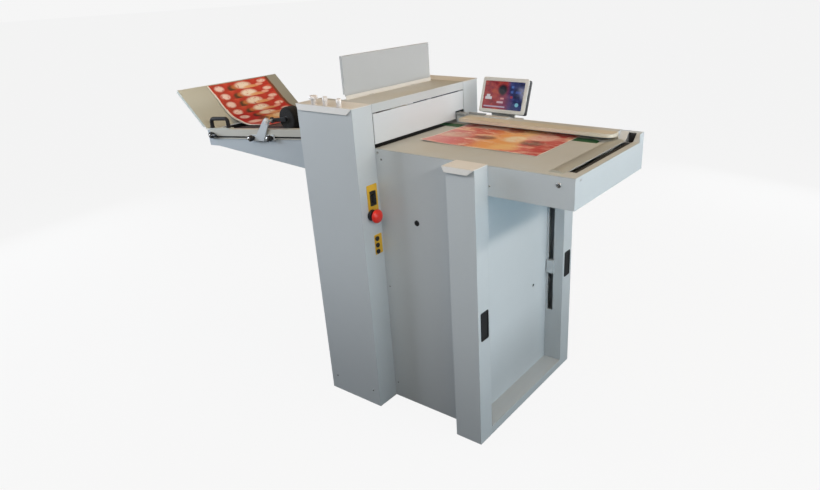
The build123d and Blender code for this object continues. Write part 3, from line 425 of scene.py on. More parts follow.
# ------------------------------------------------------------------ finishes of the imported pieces
finishes = {
    warm_lit_guard_paint: ["belt_guard"],
    tray_paint: ["stop_tray"],
    cover_paint: ["display_mount", "front_column", "front_panel", "front_tower_cover",
                  "left_end_panel", "rear_column", "rear_panel", "rear_tower_cover", "roller_bracket",
                  "slot_carrier", "table_skirt"],
    head_paint: ["head_cover"],
    bay_paint: ["bay_liner"],
    bed_paint: ["table_bed"],
    pan_paint: ["delivery_pan"],
    lit_cap_paint: ["post_caps"],
    flap_paint: ["feed_flap"],
    lid_paint: ["access_lid"],
    frame_steel: ["bearings_and_axles", "chassis", "fold_knife", "slider_plates"],
    bright_steel: ["cover_screws", "hinge_rods"],
    guide_steel: ["infeed_guide"],
    roller_steel: ["delivery_drive_roller", "delivery_tail_roller", "fold_roller_left", "fold_roller_right"],
    aluminium_rail: ["delivery_rails"],
    black_rubber: ["hand_pads", "infeed_roller", "loop_handle"],
    green_belt: ["register_belt"],
    dark_belt: ["delivery_belts"],
    black_plastic: ["bottom_button", "middle_button", "top_button", "panel_lock", "power_rocker",
                    "switch_sockets", "thumb_knob_left", "thumb_knob_right", "press_arm"],
    pulley_plastic: ["belt_drive_pulley", "belt_idle_pulley"],
    motor_black: ["drive_motors"],
    display_shell: ["display_housing", "display_post"],
    display_glass: ["display_screen"],
    stop_red: ["stop_button"],
    label_yellow: ["label_plates"],
    knob_bright: ["left_knob", "middle_knob", "right_knob"],
    foam: ["foam_roller"],
    flat_print: ["printed_sheet"],
    stack_print: ["folded_sheets"],
}
for material, members in finishes.items():
    for node in members:
        packed = nodes[node].data.materials
        packed.clear()
        packed.append(material)


# ------------------------------------------------------------------ shape helpers
UP = (0, 0, 1)
FORWARD = (0, -1, 0)
REARWARD = (0, 1, 0)
RIGHTWARD = (1, 0, 0)


def loft(bm, rings):
    """Skin between rings of points, closed at both ends."""
    grid = [[bm.verts.new(point) for point in ring] for ring in rings]
    size = len(grid[0])
    for lower, upper in zip(grid, grid[1:]):
        for index in range(size):
            after = (index + 1) % size
            bm.faces.new((lower[index], lower[after], upper[after], upper[index]))
    bm.faces.new(list(reversed(grid[0])))
    bm.faces.new(grid[-1])


def axes_for(direction):
    """Two unit vectors square to a direction, and the direction's own unit vector."""
    along = Vector(direction).normalized()
    helper = Vector((0, 0, 1)) if abs(along.z) < 0.9 else Vector((0, 1, 0))
    first = along.cross(helper).normalized()
    return first, along.cross(first).normalized(), along


def turned(bm, origin, direction, profile, segments=48, ripple=None):
    """Body of revolution from (along, radius) pairs; ripple(angle) scales the radius."""
    first, second, along = axes_for(direction)
    origin = Vector(origin)
    spokes = []
    for index in range(segments):
        angle = 2 * math.pi * index / segments
        spoke = first * math.cos(angle) + second * math.sin(angle)
        spokes.append(spoke * (ripple(angle) if ripple else 1.0))
    loft(bm, [[origin + along * height + spoke * radius for spoke in spokes] for height, radius in profile])


def lobes(count, depth):
    """Ripple with a number of rounded lobes."""
    return lambda angle: 1.0 + depth * math.cos(count * angle)


def quarter_turn(steps):
    """Angles from 0 to 90 degrees in equal steps."""
    return [math.pi / 2 * step / steps for step in range(steps + 1)]


def dome(radius, height, start, steps, flat):
    """(along, radius) pairs of a domed end that begins at start; flat is the share left at the top."""
    angles = quarter_turn(steps)
    return [(start + height * math.sin(angle), radius * max(math.cos(angle), flat)) for angle in angles]


def rounded_corner(before, corner, after, radius, steps):
    """Curve that takes the place of one corner of a line."""
    into, out = before - corner, after - corner
    reach = min(radius, into.length * 0.49, out.length * 0.49)
    start, end = corner + into.normalized() * reach, corner + out.normalized() * reach
    shares = [step / steps for step in range(steps + 1)]
    return [start * (1 - t) ** 2 + corner * (2 * t * (1 - t)) + end * t ** 2 for t in shares]


def rounded_outline(points, radius, steps=5):
    """Closed 2-D outline with each corner rounded."""
    points = [Vector(point) for point in points]
    outline = []
    for before, corner, after in zip(points[-1:] + points, points, points[1:] + points[:1]):
        outline += rounded_corner(before, corner, after, radius, steps)
    return outline


def smooth_path(points, radius, steps=8):
    """3-D line with rounded inner corners."""
    points = [Vector(point) for point in points]
    path = [points[0]]
    for before, corner, after in zip(points, points[1:], points[2:]):
        path += rounded_corner(before, corner, after, radius, steps)
    return path + [points[-1]]


def round_rectangle(width, tall, radius, centre=(0, 0), steps=5):
    x, y = centre
    corners = [(x - width / 2, y - tall / 2), (x + width / 2, y - tall / 2),
               (x + width / 2, y + tall / 2), (x - width / 2, y + tall / 2)]
    return rounded_outline(corners, radius, steps)


def shrink(outline, amount):
    """Outline moved inwards by an amount, for a counter-clockwise outline."""
    moved = []
    count = len(outline)
    for index, point in enumerate(outline):
        before = (point - outline[index - 1])
        after = (outline[(index + 1) % count] - point)
        before = before.normalized() if before.length > 1e-9 else after.normalized()
        after = after.normalized() if after.length > 1e-9 else before
        inward = Vector((-(before.y + after.y), before.x + after.x))
        if inward.length > 1e-9:
            inward.normalize()
        moved.append(point + inward * amount)
    return moved


def stacked(origin, u, v, levels):
    """Rings of points for a loft from (outline, height) levels over the u, v plane."""
    origin, u, v = Vector(origin), Vector(u), Vector(v)
    normal = u.cross(v).normalized()
    return [[origin + u * point.x + v * point.y + normal * height for point in ring]
            for ring, height in levels]


def slab(bm, outline, origin, u, v, depth, soften=0.0, steps=2):
    """Plate with softened edges: outline lies on the u, v plane and is pushed along u x v by depth."""
    outline = [Vector(point) for point in outline]
    levels = [(0.0, soften)]
    if soften:
        levels += [(soften * (1 - math.cos(angle)), soften * (1 - math.sin(angle)))
                   for angle in quarter_turn(steps)[1:]]
    levels += [(depth - height, inset) for height, inset in reversed(levels)]
    loft(bm, stacked(origin, u, v, [(shrink(outline, inset) if inset else outline, height)
                                    for height, inset in levels]))


def dish(bm, outer, inner, origin, u, v, rise, depth, soften):
    """Raised frame round a sunk floor. Both outlines need the same number of points."""
    outer = [Vector(point) for point in outer]
    inner = [Vector(point) for point in inner]
    levels = [(outer, 0.0), (outer, rise - soften), (shrink(outer, soften * 0.35), rise - soften * 0.3),
              (shrink(outer, soften), rise), (shrink(inner, -soften), rise), (inner, rise - soften),
              (inner, rise - depth)]
    loft(bm, stacked(origin, u, v, levels))


def soft_box(bm, low, high, soften=0.0005, corner=0.0005):
    """Block between two corners with softened edges."""
    low, high = Vector(low), Vector(high)
    outline = rounded_outline([(low.x, low.y), (high.x, low.y), (high.x, high.y), (low.x, high.y)], corner, 3)
    slab(bm, outline, (0, 0, low.z), (1, 0, 0), (0, 1, 0), high.z - low.z, soften)


def circle(radius, segments=20, squash=1.0):
    angles = [2 * math.pi * index / segments for index in range(segments)]
    return [Vector((radius * math.cos(angle), squash * radius * math.sin(angle))) for angle in angles]


def tube(bm, path, section, up=(0, 0, 1)):
    """Section of (side, up) points swept along a path of points."""
    rings = []
    for index, point in enumerate(path):
        after = path[min(index + 1, len(path) - 1)]
        before = path[max(index - 1, 0)]
        along = (after - before).normalized()
        side = along.cross(Vector(up))
        side = side.normalized() if side.length > 1e-6 else Vector((0, 1, 0))
        lift = side.cross(along).normalized()
        rings.append([point + side * offset.x + lift * offset.y for offset in section])
    loft(bm, rings)


def coloured(bm, index, draw, *values, **options):
    """Draw something and give its new faces one material index."""
    known = set(bm.faces)
    draw(bm, *values, **options)
    for face in bm.faces:
        if face not in known:
            face.material_index = index


def leaf(bm, stations, across, thick, lift, swap=False):
    """Thin sheet through (x, z, normal x, normal z, v) stations with its print mapped on both faces."""
    layer = bm.loops.layers.uv.verify()
    shares = [(y - across[0]) / (across[-1] - across[0]) for y in across]
    rows = []
    for x, z, out_x, out_z, v in stations:
        offsets = [lift(v, share) for share in shares]
        low = [bm.verts.new((x + out_x * o, y, z + out_z * o)) for y, o in zip(across, offsets)]
        high = [bm.verts.new((x + out_x * (o + thick), y, z + out_z * (o + thick)))
                for y, o in zip(across, offsets)]
        rows.append((low, high, v))

    def quad(corners, marks, index):
        face = bm.faces.new(corners)
        face.material_index = index
        for loop, (share, v) in zip(face.loops, marks):
            loop[layer].uv = (v, share) if swap else (share, v)

    for (low_a, high_a, v_a), (low_b, high_b, v_b) in zip(rows, rows[1:]):
        for k in range(len(across) - 1):
            s_a, s_b = shares[k], shares[k + 1]
            marks = [(s_a, v_a), (s_b, v_a), (s_b, v_b), (s_a, v_b)]
            quad((high_a[k], high_a[k + 1], high_b[k + 1], high_b[k]), marks, 0)
            quad((low_b[k], low_b[k + 1], low_a[k + 1], low_a[k]), marks[::-1], 0)
        for k in (0, -1):
            marks = [(shares[k], v_a)] * 2 + [(shares[k], v_b)] * 2
            quad((low_a[k], high_a[k], high_b[k], low_b[k]), marks, 1)
    for low, high, v in (rows[0], rows[-1]):
        for k in range(len(across) - 1):
            quad((low[k], low[k + 1], high[k + 1], high[k]), [(shares[k], v)] * 4, 1)


# ------------------------------------------------------------------ places in the frame
def measured(node):
    """Lowest corner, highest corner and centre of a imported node."""
    low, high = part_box(node)
    return low, high, (low + high) / 2


def islands(node):
    """(lowest, highest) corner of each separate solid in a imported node."""
    bm = bmesh.new()
    bm.from_mesh(nodes[node].data)
    bmesh.ops.remove_doubles(bm, verts=bm.verts, dist=1e-6)
    waiting = set(bm.verts)
    boxes = []
    while waiting:
        front = [waiting.pop()]
        members = []
        while front:
            vert = front.pop()
            members.append(vert.co.copy())
            for edge in vert.link_edges:
                other = edge.other_vert(vert)
                if other in waiting:
                    waiting.remove(other)
                    front.append(other)
        low = Vector([min(point[axis] for point in members) for axis in range(3)])
        high = Vector([max(point[axis] for point in members) for axis in range(3)])
        boxes.append((low, high))
    bm.free()
    return sorted(boxes, key=lambda pair: tuple(pair[0]))


def joint_place(name):
    """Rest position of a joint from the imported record."""
    return Vector(next(joint["pos_m"] for joint in frame["record"]["behaviour"]["joints"]
                       if joint["name"] == name))


def piece(name, bm, material, body, replaces=None, crease=35):
    """Make one visible piece from a bmesh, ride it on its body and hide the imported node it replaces."""
    bmesh.ops.remove_doubles(bm, verts=bm.verts, dist=1e-7)
    bmesh.ops.recalc_face_normals(bm, faces=bm.faces)
    mesh = bpy.data.meshes.new(name)
    bm.to_mesh(mesh)
    bm.free()
    obj = bpy.data.objects.new(name, mesh)
    bpy.context.scene.collection.objects.link(obj)
    for entry in material if isinstance(material, list) else [material]:
        mesh.materials.append(entry)
    mesh.shade_smooth()
    mesh.set_sharp_from_angle(angle=math.radians(crease))
    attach(obj, body)
    if replaces:
        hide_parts(replaces)


# ------------------------------------------------------------------ delivery end
slope = math.radians(5.5)
down_slope = Vector((-math.cos(slope), 0, -math.sin(slope)))


def loop_handle():
    """Round grip bent into a bridge over the tray foot, with collars at its ends."""
    bend, collar_rim, collar_tall = 0.018, 0.0015, 0.004
    low, high, middle = measured("loop_handle")
    bar = (high.y - low.y) / 2
    left_x, right_x = low.x + bar, high.x - bar
    climb = (right_x - left_x) * math.tan(slope)
    top_left = high.z - bar - climb
    path = smooth_path([(left_x, middle.y, low.z), (left_x, middle.y, top_left),
                        (right_x, middle.y, top_left + climb), (right_x, middle.y, low.z + climb)], bend, 10)
    bm = bmesh.new()
    tube(bm, path, circle(bar, 28), up=REARWARD)
    collar = [(0, bar + collar_rim), (collar_tall, bar + collar_rim), (collar_tall + 0.0015, bar + 0.0002)]
    for x, z in ((left_x, low.z), (right_x, low.z + climb)):
        turned(bm, (x, middle.y, z), UP, collar, 28)
    piece("loop_handle_grip", bm, black_rubber, "tray_carriage", "loop_handle")


def thumb_knobs():
    """Lobed clamping knobs with the end of a steel stud in their faces."""
    overlap, stud_start = 0.0002, 0.021
    for node in ("thumb_knob_left", "thumb_knob_right"):
        low, high, centre = measured(node)
        radius = (high.x - low.x) / 2
        start = high.y - overlap
        grip = [(0, 0.0068), (0.005, 0.0068), (0.006, radius * 0.9), (0.007, radius * 0.97),
                (0.018, radius * 0.97), (0.0205, radius * 0.86), (0.0213, radius * 0.62)]
        stud = [(0, 0.0062), (0.0022, 0.0062), (0.003, 0.0050), (0.0034, 0.0030), (0.0022, 0.0026)]
        bm = bmesh.new()
        coloured(bm, 0, turned, (centre.x, start, centre.z), FORWARD, grip, 96, lobes(8, 0.045))
        coloured(bm, 1, turned, (centre.x, start - stud_start, centre.z), FORWARD, stud, 40)
        piece(node + "_grip", bm, [black_plastic, bright_steel], node, node)


def tray_lock():
    """Cranked clamping lever at the low end of the rail, carried by the tray."""
    from_handle, below_handle, rail_gap, lever_radius = 0.022, 0.0245, 0.0004, 0.0052
    handle_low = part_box("loop_handle")[0]
    rail_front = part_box("delivery_rails")[0].y
    middle = Vector((handle_low.x + from_handle, rail_front - rail_gap, handle_low.z - below_handle))
    hub = [(0, 0.0100), (0.0035, 0.0100), (0.0045, 0.0128), (0.0130, 0.0128), (0.0150, 0.0112),
           (0.0155, 0.006)]
    cover = [(0, 0.0048), (0.0016, 0.0048), (0.0022, 0.0038)]
    bm = bmesh.new()
    coloured(bm, 0, turned, middle, FORWARD, hub, 72, lobes(6, 0.03))
    lever = smooth_path([middle + Vector((0, -0.009, 0)),
                         middle + down_slope * -0.018 + Vector((0, -0.010, 0)),
                         middle + down_slope * -0.034 + Vector((0, -0.013, -0.001))], 0.006)
    coloured(bm, 0, tube, lever, circle(lever_radius, 16, 1.15))
    coloured(bm, 1, turned, middle + Vector((0, -0.015, 0)), FORWARD, cover, 32)
    piece("tray_lock_lever", bm, [black_plastic, bright_steel], "tray_carriage")


def press_wheel():
    """Foam drum with rounded shoulders and a slightly crowned tread on a moulded hub."""
    shoulder, bore, crown, corner_steps, tread_steps = 0.007, 0.0105, 0.0006, 6, 8
    low, high, centre = measured("foam_roller")
    radius = (high.x - low.x) / 2
    width = high.y - low.y
    corner = quarter_turn(corner_steps)
    profile = [(0.0, bore), (0.0, radius - shoulder)]
    profile += [(shoulder * (1 - math.cos(angle)), radius - shoulder * (1 - math.sin(angle)))
                for angle in corner[1:]]
    for step in range(1, tread_steps):
        share = step / tread_steps
        bulge = crown * math.sin(math.pi * share)
        profile.append((shoulder + (width - 2 * shoulder) * share, radius + bulge))
    profile += [(width - shoulder * (1 - math.sin(angle)), radius - shoulder * (1 - math.cos(angle)))
                for angle in corner]
    profile.append((width, bore))
    hub_lip = 0.0008
    hub = [(0, 0.0070), (0, 0.0098), (0.001, bore), (width + 0.0006, bore), (width + 2 * hub_lip, 0.0098),
           (width + 2 * hub_lip, 0.0070)]
    bm = bmesh.new()
    coloured(bm, 0, turned, (centre.x, low.y, centre.z), REARWARD, profile, 96)
    coloured(bm, 1, turned, (centre.x, low.y - hub_lip, centre.z), REARWARD, hub, 48)
    piece("press_wheel", bm, [foam, pulley_plastic], "foam_roller", "foam_roller")


def bracket_pin():
    """Bright head of the press arm's pivot pin."""
    pin = joint_place("press_arm_lift")
    inset = 0.006
    head = [(0, 0.0088), (0.0045, 0.0088), (0.0060, 0.0078), (0.0068, 0.0058), (0.0068, 0.0034),
            (0.0035, 0.0034)]
    bm = bmesh.new()
    turned(bm, (pin.x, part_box("roller_bracket")[0].y + inset, pin.z), FORWARD, head, 48)
    piece("bracket_pin_head", bm, knob_bright, "roller_carriage")


def sheet_route():
    """Line of the folded sheets from the belts up the stop tray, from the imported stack's underside."""
    near, end_band, bend = 0.03, 0.003, 0.030
    high_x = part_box("folded_sheets")[1].x
    packed = nodes["folded_sheets"].data.vertices
    corners = sorted({(round(vert.co.x, 5), round(vert.co.z, 5)) for vert in packed})
    corners = [Vector(corner) for corner in corners]
    head = corners[0]
    tail = min((corner for corner in corners if corner.x > high_x - end_band), key=lambda corner: corner.y)
    curl = min(corners, key=lambda corner: corner.y)
    rest = min((corner for corner in corners if head.x + near < corner.x < curl.x - near),
               key=lambda corner: corner.y)
    return smooth_path([(corner.x, 0, corner.y) for corner in (tail, curl, rest, head)], bend, 10)


def fanned_sheets():
    """Folded sheets that run up the delivery belts and curl up the stop tray, each a step behind the last."""
    count, step, pitch, thick, clear = 5, 0.045, 0.0009, 0.00072, 0.0002
    side_inset, side_shift = 0.002, 0.0016
    rows, columns = 44, 12
    low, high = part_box("folded_sheets")
    route = sheet_route()
    reach = [0.0]
    for before, after in zip(route, route[1:]):
        reach.append(reach[-1] + (after - before).length)
    total = reach[-1]
    length = total - (count - 1) * step - 0.001

    def at(distance):
        """Place on the route and its outward direction."""
        distance = min(max(distance, 0.0), total)
        index = next(index for index in range(len(route) - 1) if distance <= reach[index + 1])
        share = (distance - reach[index]) / (reach[index + 1] - reach[index])
        along = (route[min(index + 2, len(route) - 1)] - route[max(index - 1, 0)]).normalized()
        return route[index].lerp(route[index + 1], share), Vector((along.z, 0, -along.x))

    bm = bmesh.new()
    for order in range(count):
        start = total - order * step - length
        stations = []
        for row in range(rows + 1):
            share = row / rows
            place, out = at(start + length * share)
            height = min(order, share * length / step) * pitch + clear
            stations.append((place.x + out.x * height, place.z + out.z * height, out.x, out.z, 1.0 - share))
        side = low.y + side_shift * math.sin(order * 2.3) + side_inset
        across = [side + (high.y - low.y - 2 * side_inset) * k / columns for k in range(columns + 1)]

        def curl_up(v, share, order=order):
            edge = (2 * share - 1) ** 2
            return 0.0010 * edge * (1 - v) + 0.0004 * math.sin(9 * share + order)
        leaf(bm, stations, across, thick, curl_up)
    piece("fanned_sheets", bm, [stack_print, paper_edge], "tray_carriage", "folded_sheets", 50)


def table_sheet():
    """Printed sheet on the feed table with a slight ripple and a lifted corner."""
    low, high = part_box("printed_sheet")
    rows, columns = 48, 30
    stations = [(low.x + (high.x - low.x) * i / rows, low.z, 0.0, 1.0, i / rows) for i in range(rows + 1)]
    across = [low.y + (high.y - low.y) * k / columns for k in range(columns + 1)]

    def lift(v, share):
        ripple = 0.0005 * (1 + math.sin(11 * v + 3.1 * share)) * (1 - share)
        corner = max(0.0, 0.16 - v) * max(0.0, 0.25 - share) * 0.10
        return ripple + corner
    bm = bmesh.new()
    leaf(bm, stations, across, high.z - low.z, lift, swap=True)
    body = nodes["printed_sheet"]["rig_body"]
    piece("table_sheet", bm, [flat_print, paper_edge], body, "printed_sheet", 50)


# ------------------------------------------------------------------ display
display_width, display_tall, display_deep, display_rim = 0.192, 0.126, 0.026, 0.013
opening_width, opening_tall = display_width - 2 * display_rim, display_tall - 2 * display_rim
opening_shift = 0.0025
lean = math.radians(20)
screen_up = Vector((0, math.sin(lean), math.cos(lean)))
screen_out = Vector(RIGHTWARD).cross(screen_up)
screen_face = measured("display_screen")[2] + screen_out * 0.002


def screen_outline(clear=0.0):
    """Opening of the display's frame, less a clearance."""
    return round_rectangle(opening_width - clear, opening_tall - clear, 0.003, (-opening_shift, 0))


def display_frame():
    """Slim pale frame, dark back shell with vents, and two hinge lugs."""
    frame_deep, vent_pitch, lug_wide, lug_radius, lug_root = 0.004, 0.005, 0.007, 0.008, 0.012
    pivot = joint_place("display_tilt")
    back = screen_face - screen_out * (display_deep - 0.001)
    bm = bmesh.new()
    coloured(bm, 0, dish, round_rectangle(display_width, display_tall, 0.008), screen_outline(),
             screen_face - screen_out * frame_deep, RIGHTWARD, screen_up, frame_deep, 0.003, 0.0012)
    shell = round_rectangle(display_width - 0.002, display_tall - 0.002, 0.0075)
    coloured(bm, 1, slab, shell, screen_face - screen_out * display_deep, RIGHTWARD, screen_up,
             display_deep - frame_deep - 0.0002, 0.003, 4)
    vent = round_rectangle(0.062, 0.0022, 0.0010, steps=3)
    for row in range(7):
        centre = screen_face - screen_out * (display_deep + 0.0002) + screen_up * (0.022 + vent_pitch * row)
        coloured(bm, 2, slab, vent, centre, RIGHTWARD, screen_up, 0.0006, 0.0002)
    boss = [(0, lug_radius - 0.0005), (0.0005, lug_radius), (lug_wide - 0.0005, lug_radius),
            (lug_wide, lug_radius - 0.0005)]
    for side in (-0.022, 0.015):
        lug = [back - screen_up * lug_root, back + screen_up * lug_root, pivot + screen_up * 0.006,
               pivot - screen_up * 0.006]
        lug = rounded_outline([(point.y, point.z) for point in lug], 0.0015, 3)
        coloured(bm, 1, slab, lug, (pivot.x + side, 0, 0), REARWARD, UP, lug_wide, 0.0006)
        coloured(bm, 1, turned, (pivot.x + side, pivot.y, pivot.z), RIGHTWARD, boss, 40)
    piece("display_frame", bm, [display_shell, display_back, motor_black], "display",
          "display_housing")


def display_panel():
    """Glass with its picture mapped over the opening."""
    bm = bmesh.new()
    slab(bm, screen_outline(0.0004), screen_face - screen_out * 0.0028, RIGHTWARD, screen_up, 0.0018, 0.0003)
    layer = bm.loops.layers.uv.verify()
    middle = screen_face - Vector(RIGHTWARD) * opening_shift
    for side in bm.faces:
        for loop in side.loops:
            offset = loop.vert.co - middle
            loop[layer].uv = (offset.x / opening_width + 0.5, offset.dot(screen_up) / opening_tall + 0.5)
    piece("display_panel", bm, display_glass, "display", "display_screen")


# ------------------------------------------------------------------ switches and knobs
def tower_knobs():
    """Knurled adjusting knobs on spindles: one with a broad head and two waisted ones."""
    cap_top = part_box("post_caps")[1].z
    radius, spindle = 0.008, 0.004
    for node in ("left_knob", "middle_knob", "right_knob"):
        low, high, centre = measured(node)
        tall = high.z - cap_top
        profile = [(0.0002, radius * 0.92), (0.0012, radius)]
        if node == "left_knob":
            head = (high.x - low.x) / 2
            profile += [(tall - 0.0125, radius * 0.98), (tall - 0.0105, head * 0.86), (tall - 0.009, head),
                        (tall - 0.003, head), (tall - 0.0012, head * 0.94), (tall - 0.0002, head * 0.8)]
        else:
            profile += [(tall * 0.34, radius), (tall * 0.38, radius * 0.86), (tall * 0.44, radius * 0.86),
                        (tall * 0.48, radius * 1.02), (tall - 0.0022, radius * 1.02),
                        (tall - 0.0007, radius * 0.9), (tall, radius * 0.66)]
        bm = bmesh.new()
        turned(bm, (centre.x, centre.y, cap_top), UP, profile, 120, lobes(30, 0.018))
        turned(bm, (centre.x, centre.y, low.z), UP,
               [(0, spindle * 0.9), (0.001, spindle), (cap_top - low.z + 0.001, spindle)], 24)
        piece(node + "_grip", bm, knob_bright, node, node)


def stop_switch():
    """Mushroom push button with a waisted stem."""
    overhang, rise, head, rim = 1.16, 0.008, 0.018, 0.005
    low, high, centre = measured("stop_button")
    radius = (high.y - low.y) / 2 * overhang
    tall = high.x - low.x + rise
    under = tall - head
    profile = [(0, 0.0065), (under - 0.001, 0.0068), (under, radius * 0.88), (under + 0.0015, radius * 0.975),
               (under + 0.0035, radius)]
    profile += dome(radius, head - rim, under + rim, 9, 0.04)
    bm = bmesh.new()
    turned(bm, (low.x, centre.y, centre.z), RIGHTWARD, profile, 72)
    piece("stop_mushroom", bm, stop_red, "stop_button", "stop_button", 60)


def rocker():
    """Rocker cap with a hollowed face and a pointed root."""
    hollow, root, steps = 0.0016, 0.004, 12
    low, high, centre = measured("power_rocker")
    half = (high.z - low.z) / 2
    shares = [1 - 2 * step / steps for step in range(steps + 1)]
    face = [(centre.z + share * half, high.x - hollow * (1 - share * share)) for share in shares]
    back = [(low.z, low.x + root), (centre.z, low.x), (high.z, low.x + root)]
    bm = bmesh.new()
    slab(bm, back + face, (0, low.y, 0), UP, RIGHTWARD, high.y - low.y, 0.0005)
    piece("rocker_cap", bm, rocker_black, "power_rocker", "power_rocker", 30)


def push_buttons():
    """Round keys with a rim and a dished face."""
    overhang = 0.001
    for node in ("top_button", "middle_button", "bottom_button"):
        low, high, centre = measured(node)
        tall = high.x - low.x
        radius = (high.y - low.y) / 2 + overhang
        profile = [(0, 0.0052), (tall - 0.0030, 0.0054), (tall - 0.0030, radius * 0.96),
                   (tall - 0.0022, radius), (tall - 0.0010, radius), (tall - 0.0003, radius * 0.93),
                   (tall, radius * 0.84), (tall - 0.0006, radius * 0.72), (tall - 0.0009, radius * 0.4)]
        bm = bmesh.new()
        turned(bm, (low.x, centre.y, centre.z), RIGHTWARD, profile, 48)
        piece(node + "_cap", bm, rocker_black, node, node)


def sockets():
    """Collar of the stop switch and frame of the power switch."""
    collar_least, collar_tall, frame_rise = 0.030, 0.012, 0.004
    for order, (low, high) in enumerate(islands("switch_sockets")):
        centre = (low + high) / 2
        bm = bmesh.new()
        if high.y - low.y > collar_least:
            radius = (high.y - low.y) / 2
            face = high.x - collar_tall - low.x
            profile = [(0, 0.0085), (face - 0.001, 0.0088), (face, radius * 0.95), (face + 0.003, radius),
                       (face + 0.0035, radius * 0.94), (face + 0.0105, radius * 0.93),
                       (high.x - low.x, radius * 0.86), (high.x - low.x, 0.0074), (face, 0.0072)]
            turned(bm, (low.x, centre.y, centre.z), RIGHTWARD, profile, 72, lobes(36, 0.008))
        else:
            middle = (centre.y, centre.z)
            outer = round_rectangle(high.y - low.y, high.z - low.z, 0.003, middle)
            inner = round_rectangle(0.015, 0.032, 0.001, middle)
            dish(bm, outer, inner, (high.x - frame_rise, 0, 0), REARWARD, UP, frame_rise, 0.011, 0.0008)
            well = Vector((0, 0.0088, 0.0178))
            soft_box(bm, Vector((low.x, *middle)) - well, Vector((high.x - 0.0075, *middle)) + well)
        piece(f"switch_socket_{order}", bm, black_plastic, "machine", "switch_sockets")


def plates():
    """Yellow switch plates with rounded corners."""
    for order, (low, high) in enumerate(islands("label_plates")):
        centre = (low + high) / 2
        bm = bmesh.new()
        slab(bm, round_rectangle(high.y - low.y, high.z - low.z, 0.004, (centre.y, centre.z)), (low.x, 0, 0),
             REARWARD, UP, high.x - low.x, 0.0004)
        piece(f"label_plate_{order}", bm, label_yellow, "machine", "label_plates")


def grips():
    """Sunk hand grips with a raised frame and finger ribs."""
    rim, rise, floor = 0.006, 0.0025, 0.0120
    rib_count, rib_pitch, rib_half, rib_inset = 7, 0.0115, 0.0018, 0.009
    back_inset = 0.0035
    for order, (low, high) in enumerate(islands("hand_pads")):
        centre = (low + high) / 2
        width, tall = high.y - low.y, high.z - low.z
        outer = round_rectangle(width, tall, rim, (centre.y, centre.z))
        inner = round_rectangle(width - 2 * rim, tall - 2 * rim, 0.004, (centre.y, centre.z))
        bm = bmesh.new()
        dish(bm, outer, inner, (high.x - rise, 0, 0), REARWARD, UP, rise, rise + floor, 0.0008)
        for rib in range(rib_count):
            z = centre.z + (rib - rib_count // 2) * rib_pitch
            soft_box(bm, (high.x - 0.0142, low.y + rib_inset, z - rib_half),
                     (high.x - 0.0100, high.y - rib_inset, z + rib_half), 0.0006, 0.0008)
        soft_box(bm, (low.x, low.y + back_inset, low.z + back_inset),
                 (high.x - 0.0148, high.y - back_inset, high.z - back_inset))
        piece(f"hand_grip_{order}", bm, black_rubber, "machine", "hand_pads")


def screws():
    """Domed screws with round sockets in place of the plain heads."""
    bm = bmesh.new()
    for low, high in islands("cover_screws"):
        centre = (low + high) / 2
        radius, rise = (high.x - low.x) / 2, high.y - low.y
        outward = 1 if centre.y > 0 else -1
        base = low.y if outward > 0 else high.y
        turned(bm, (centre.x, base, centre.z), (0, outward, 0),
               [(0, radius), (rise * 0.25, radius), (rise * 0.6, radius * 0.9), (rise * 0.9, radius * 0.66),
                (rise, radius * 0.30), (rise, radius * 0.26), (rise * 0.7, radius * 0.24)], 36)
    piece("screw_heads", bm, bright_steel, "machine", "cover_screws")


def feed_roller():
    """Rubber feed roller with turned grooves between two journals."""
    journal, journal_radius, count = 0.018, 0.005, 61
    low, high, centre = measured("infeed_roller")
    radius, long = (high.x - low.x) / 2, high.y - low.y
    pitch = (long - 2 * journal) / count
    profile = [(0.0, 0.0045), (0.0005, journal_radius), (journal, journal_radius), (journal, radius * 0.94)]
    for ring in range(count):
        start, end = journal + pitch * (ring + 0.1), journal + pitch * (ring + 0.8)
        profile += [(start, radius), (end, radius), (end + 0.0002, radius * 0.955)]
    profile += [(long - journal, journal_radius), (long - 0.0005, journal_radius), (long, 0.0045)]
    bm = bmesh.new()
    turned(bm, (centre.x, low.y, centre.z), REARWARD, profile, 40)
    piece("feed_roller", bm, black_rubber, "infeed_roller", "infeed_roller")


# ------------------------------------------------------------------ small fittings
flap_low, flap_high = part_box("feed_flap")
guard_low, guard_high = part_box("belt_guard")
skirt_low, skirt_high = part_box("table_skirt")
bed_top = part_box("table_bed")[1].z
head_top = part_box("post_caps")[1].z


def throat_shade_sheet():
    """Thin dark sheet on the bed where the sheets run in under the flap: painted shade under the flap."""
    reach, side_gap, thick = 0.048, 0.007, 0.0006
    bm = bmesh.new()
    soft_box(bm, (flap_low.x - reach, flap_low.y, bed_top),
             (flap_high.x + 0.001, guard_low.y - side_gap, bed_top + thick), 0.0001)
    piece("throat_shade_sheet", bm, black_rubber, "machine")


def edge_sensor():
    """Small sensor with a round eye, on the belt guard beside the flap."""
    gap, long, overlap, overhang, rise = 0.0025, 0.0415, 0.010, 0.022, 0.0085
    start = flap_high.x + gap
    eye = Vector((start + long, guard_high.y + 0.006, guard_high.z + 0.0045))
    bm = bmesh.new()
    soft_box(bm, (start, guard_high.y - overlap, guard_high.z),
             (start + long, guard_high.y + overhang, guard_high.z + rise), 0.001, 0.003)
    turned(bm, eye, RIGHTWARD, [(0, 0.0026), (0.003, 0.0026), (0.004, 0.0018)], 24)
    piece("edge_sensor", bm, sensor_grey, "machine")


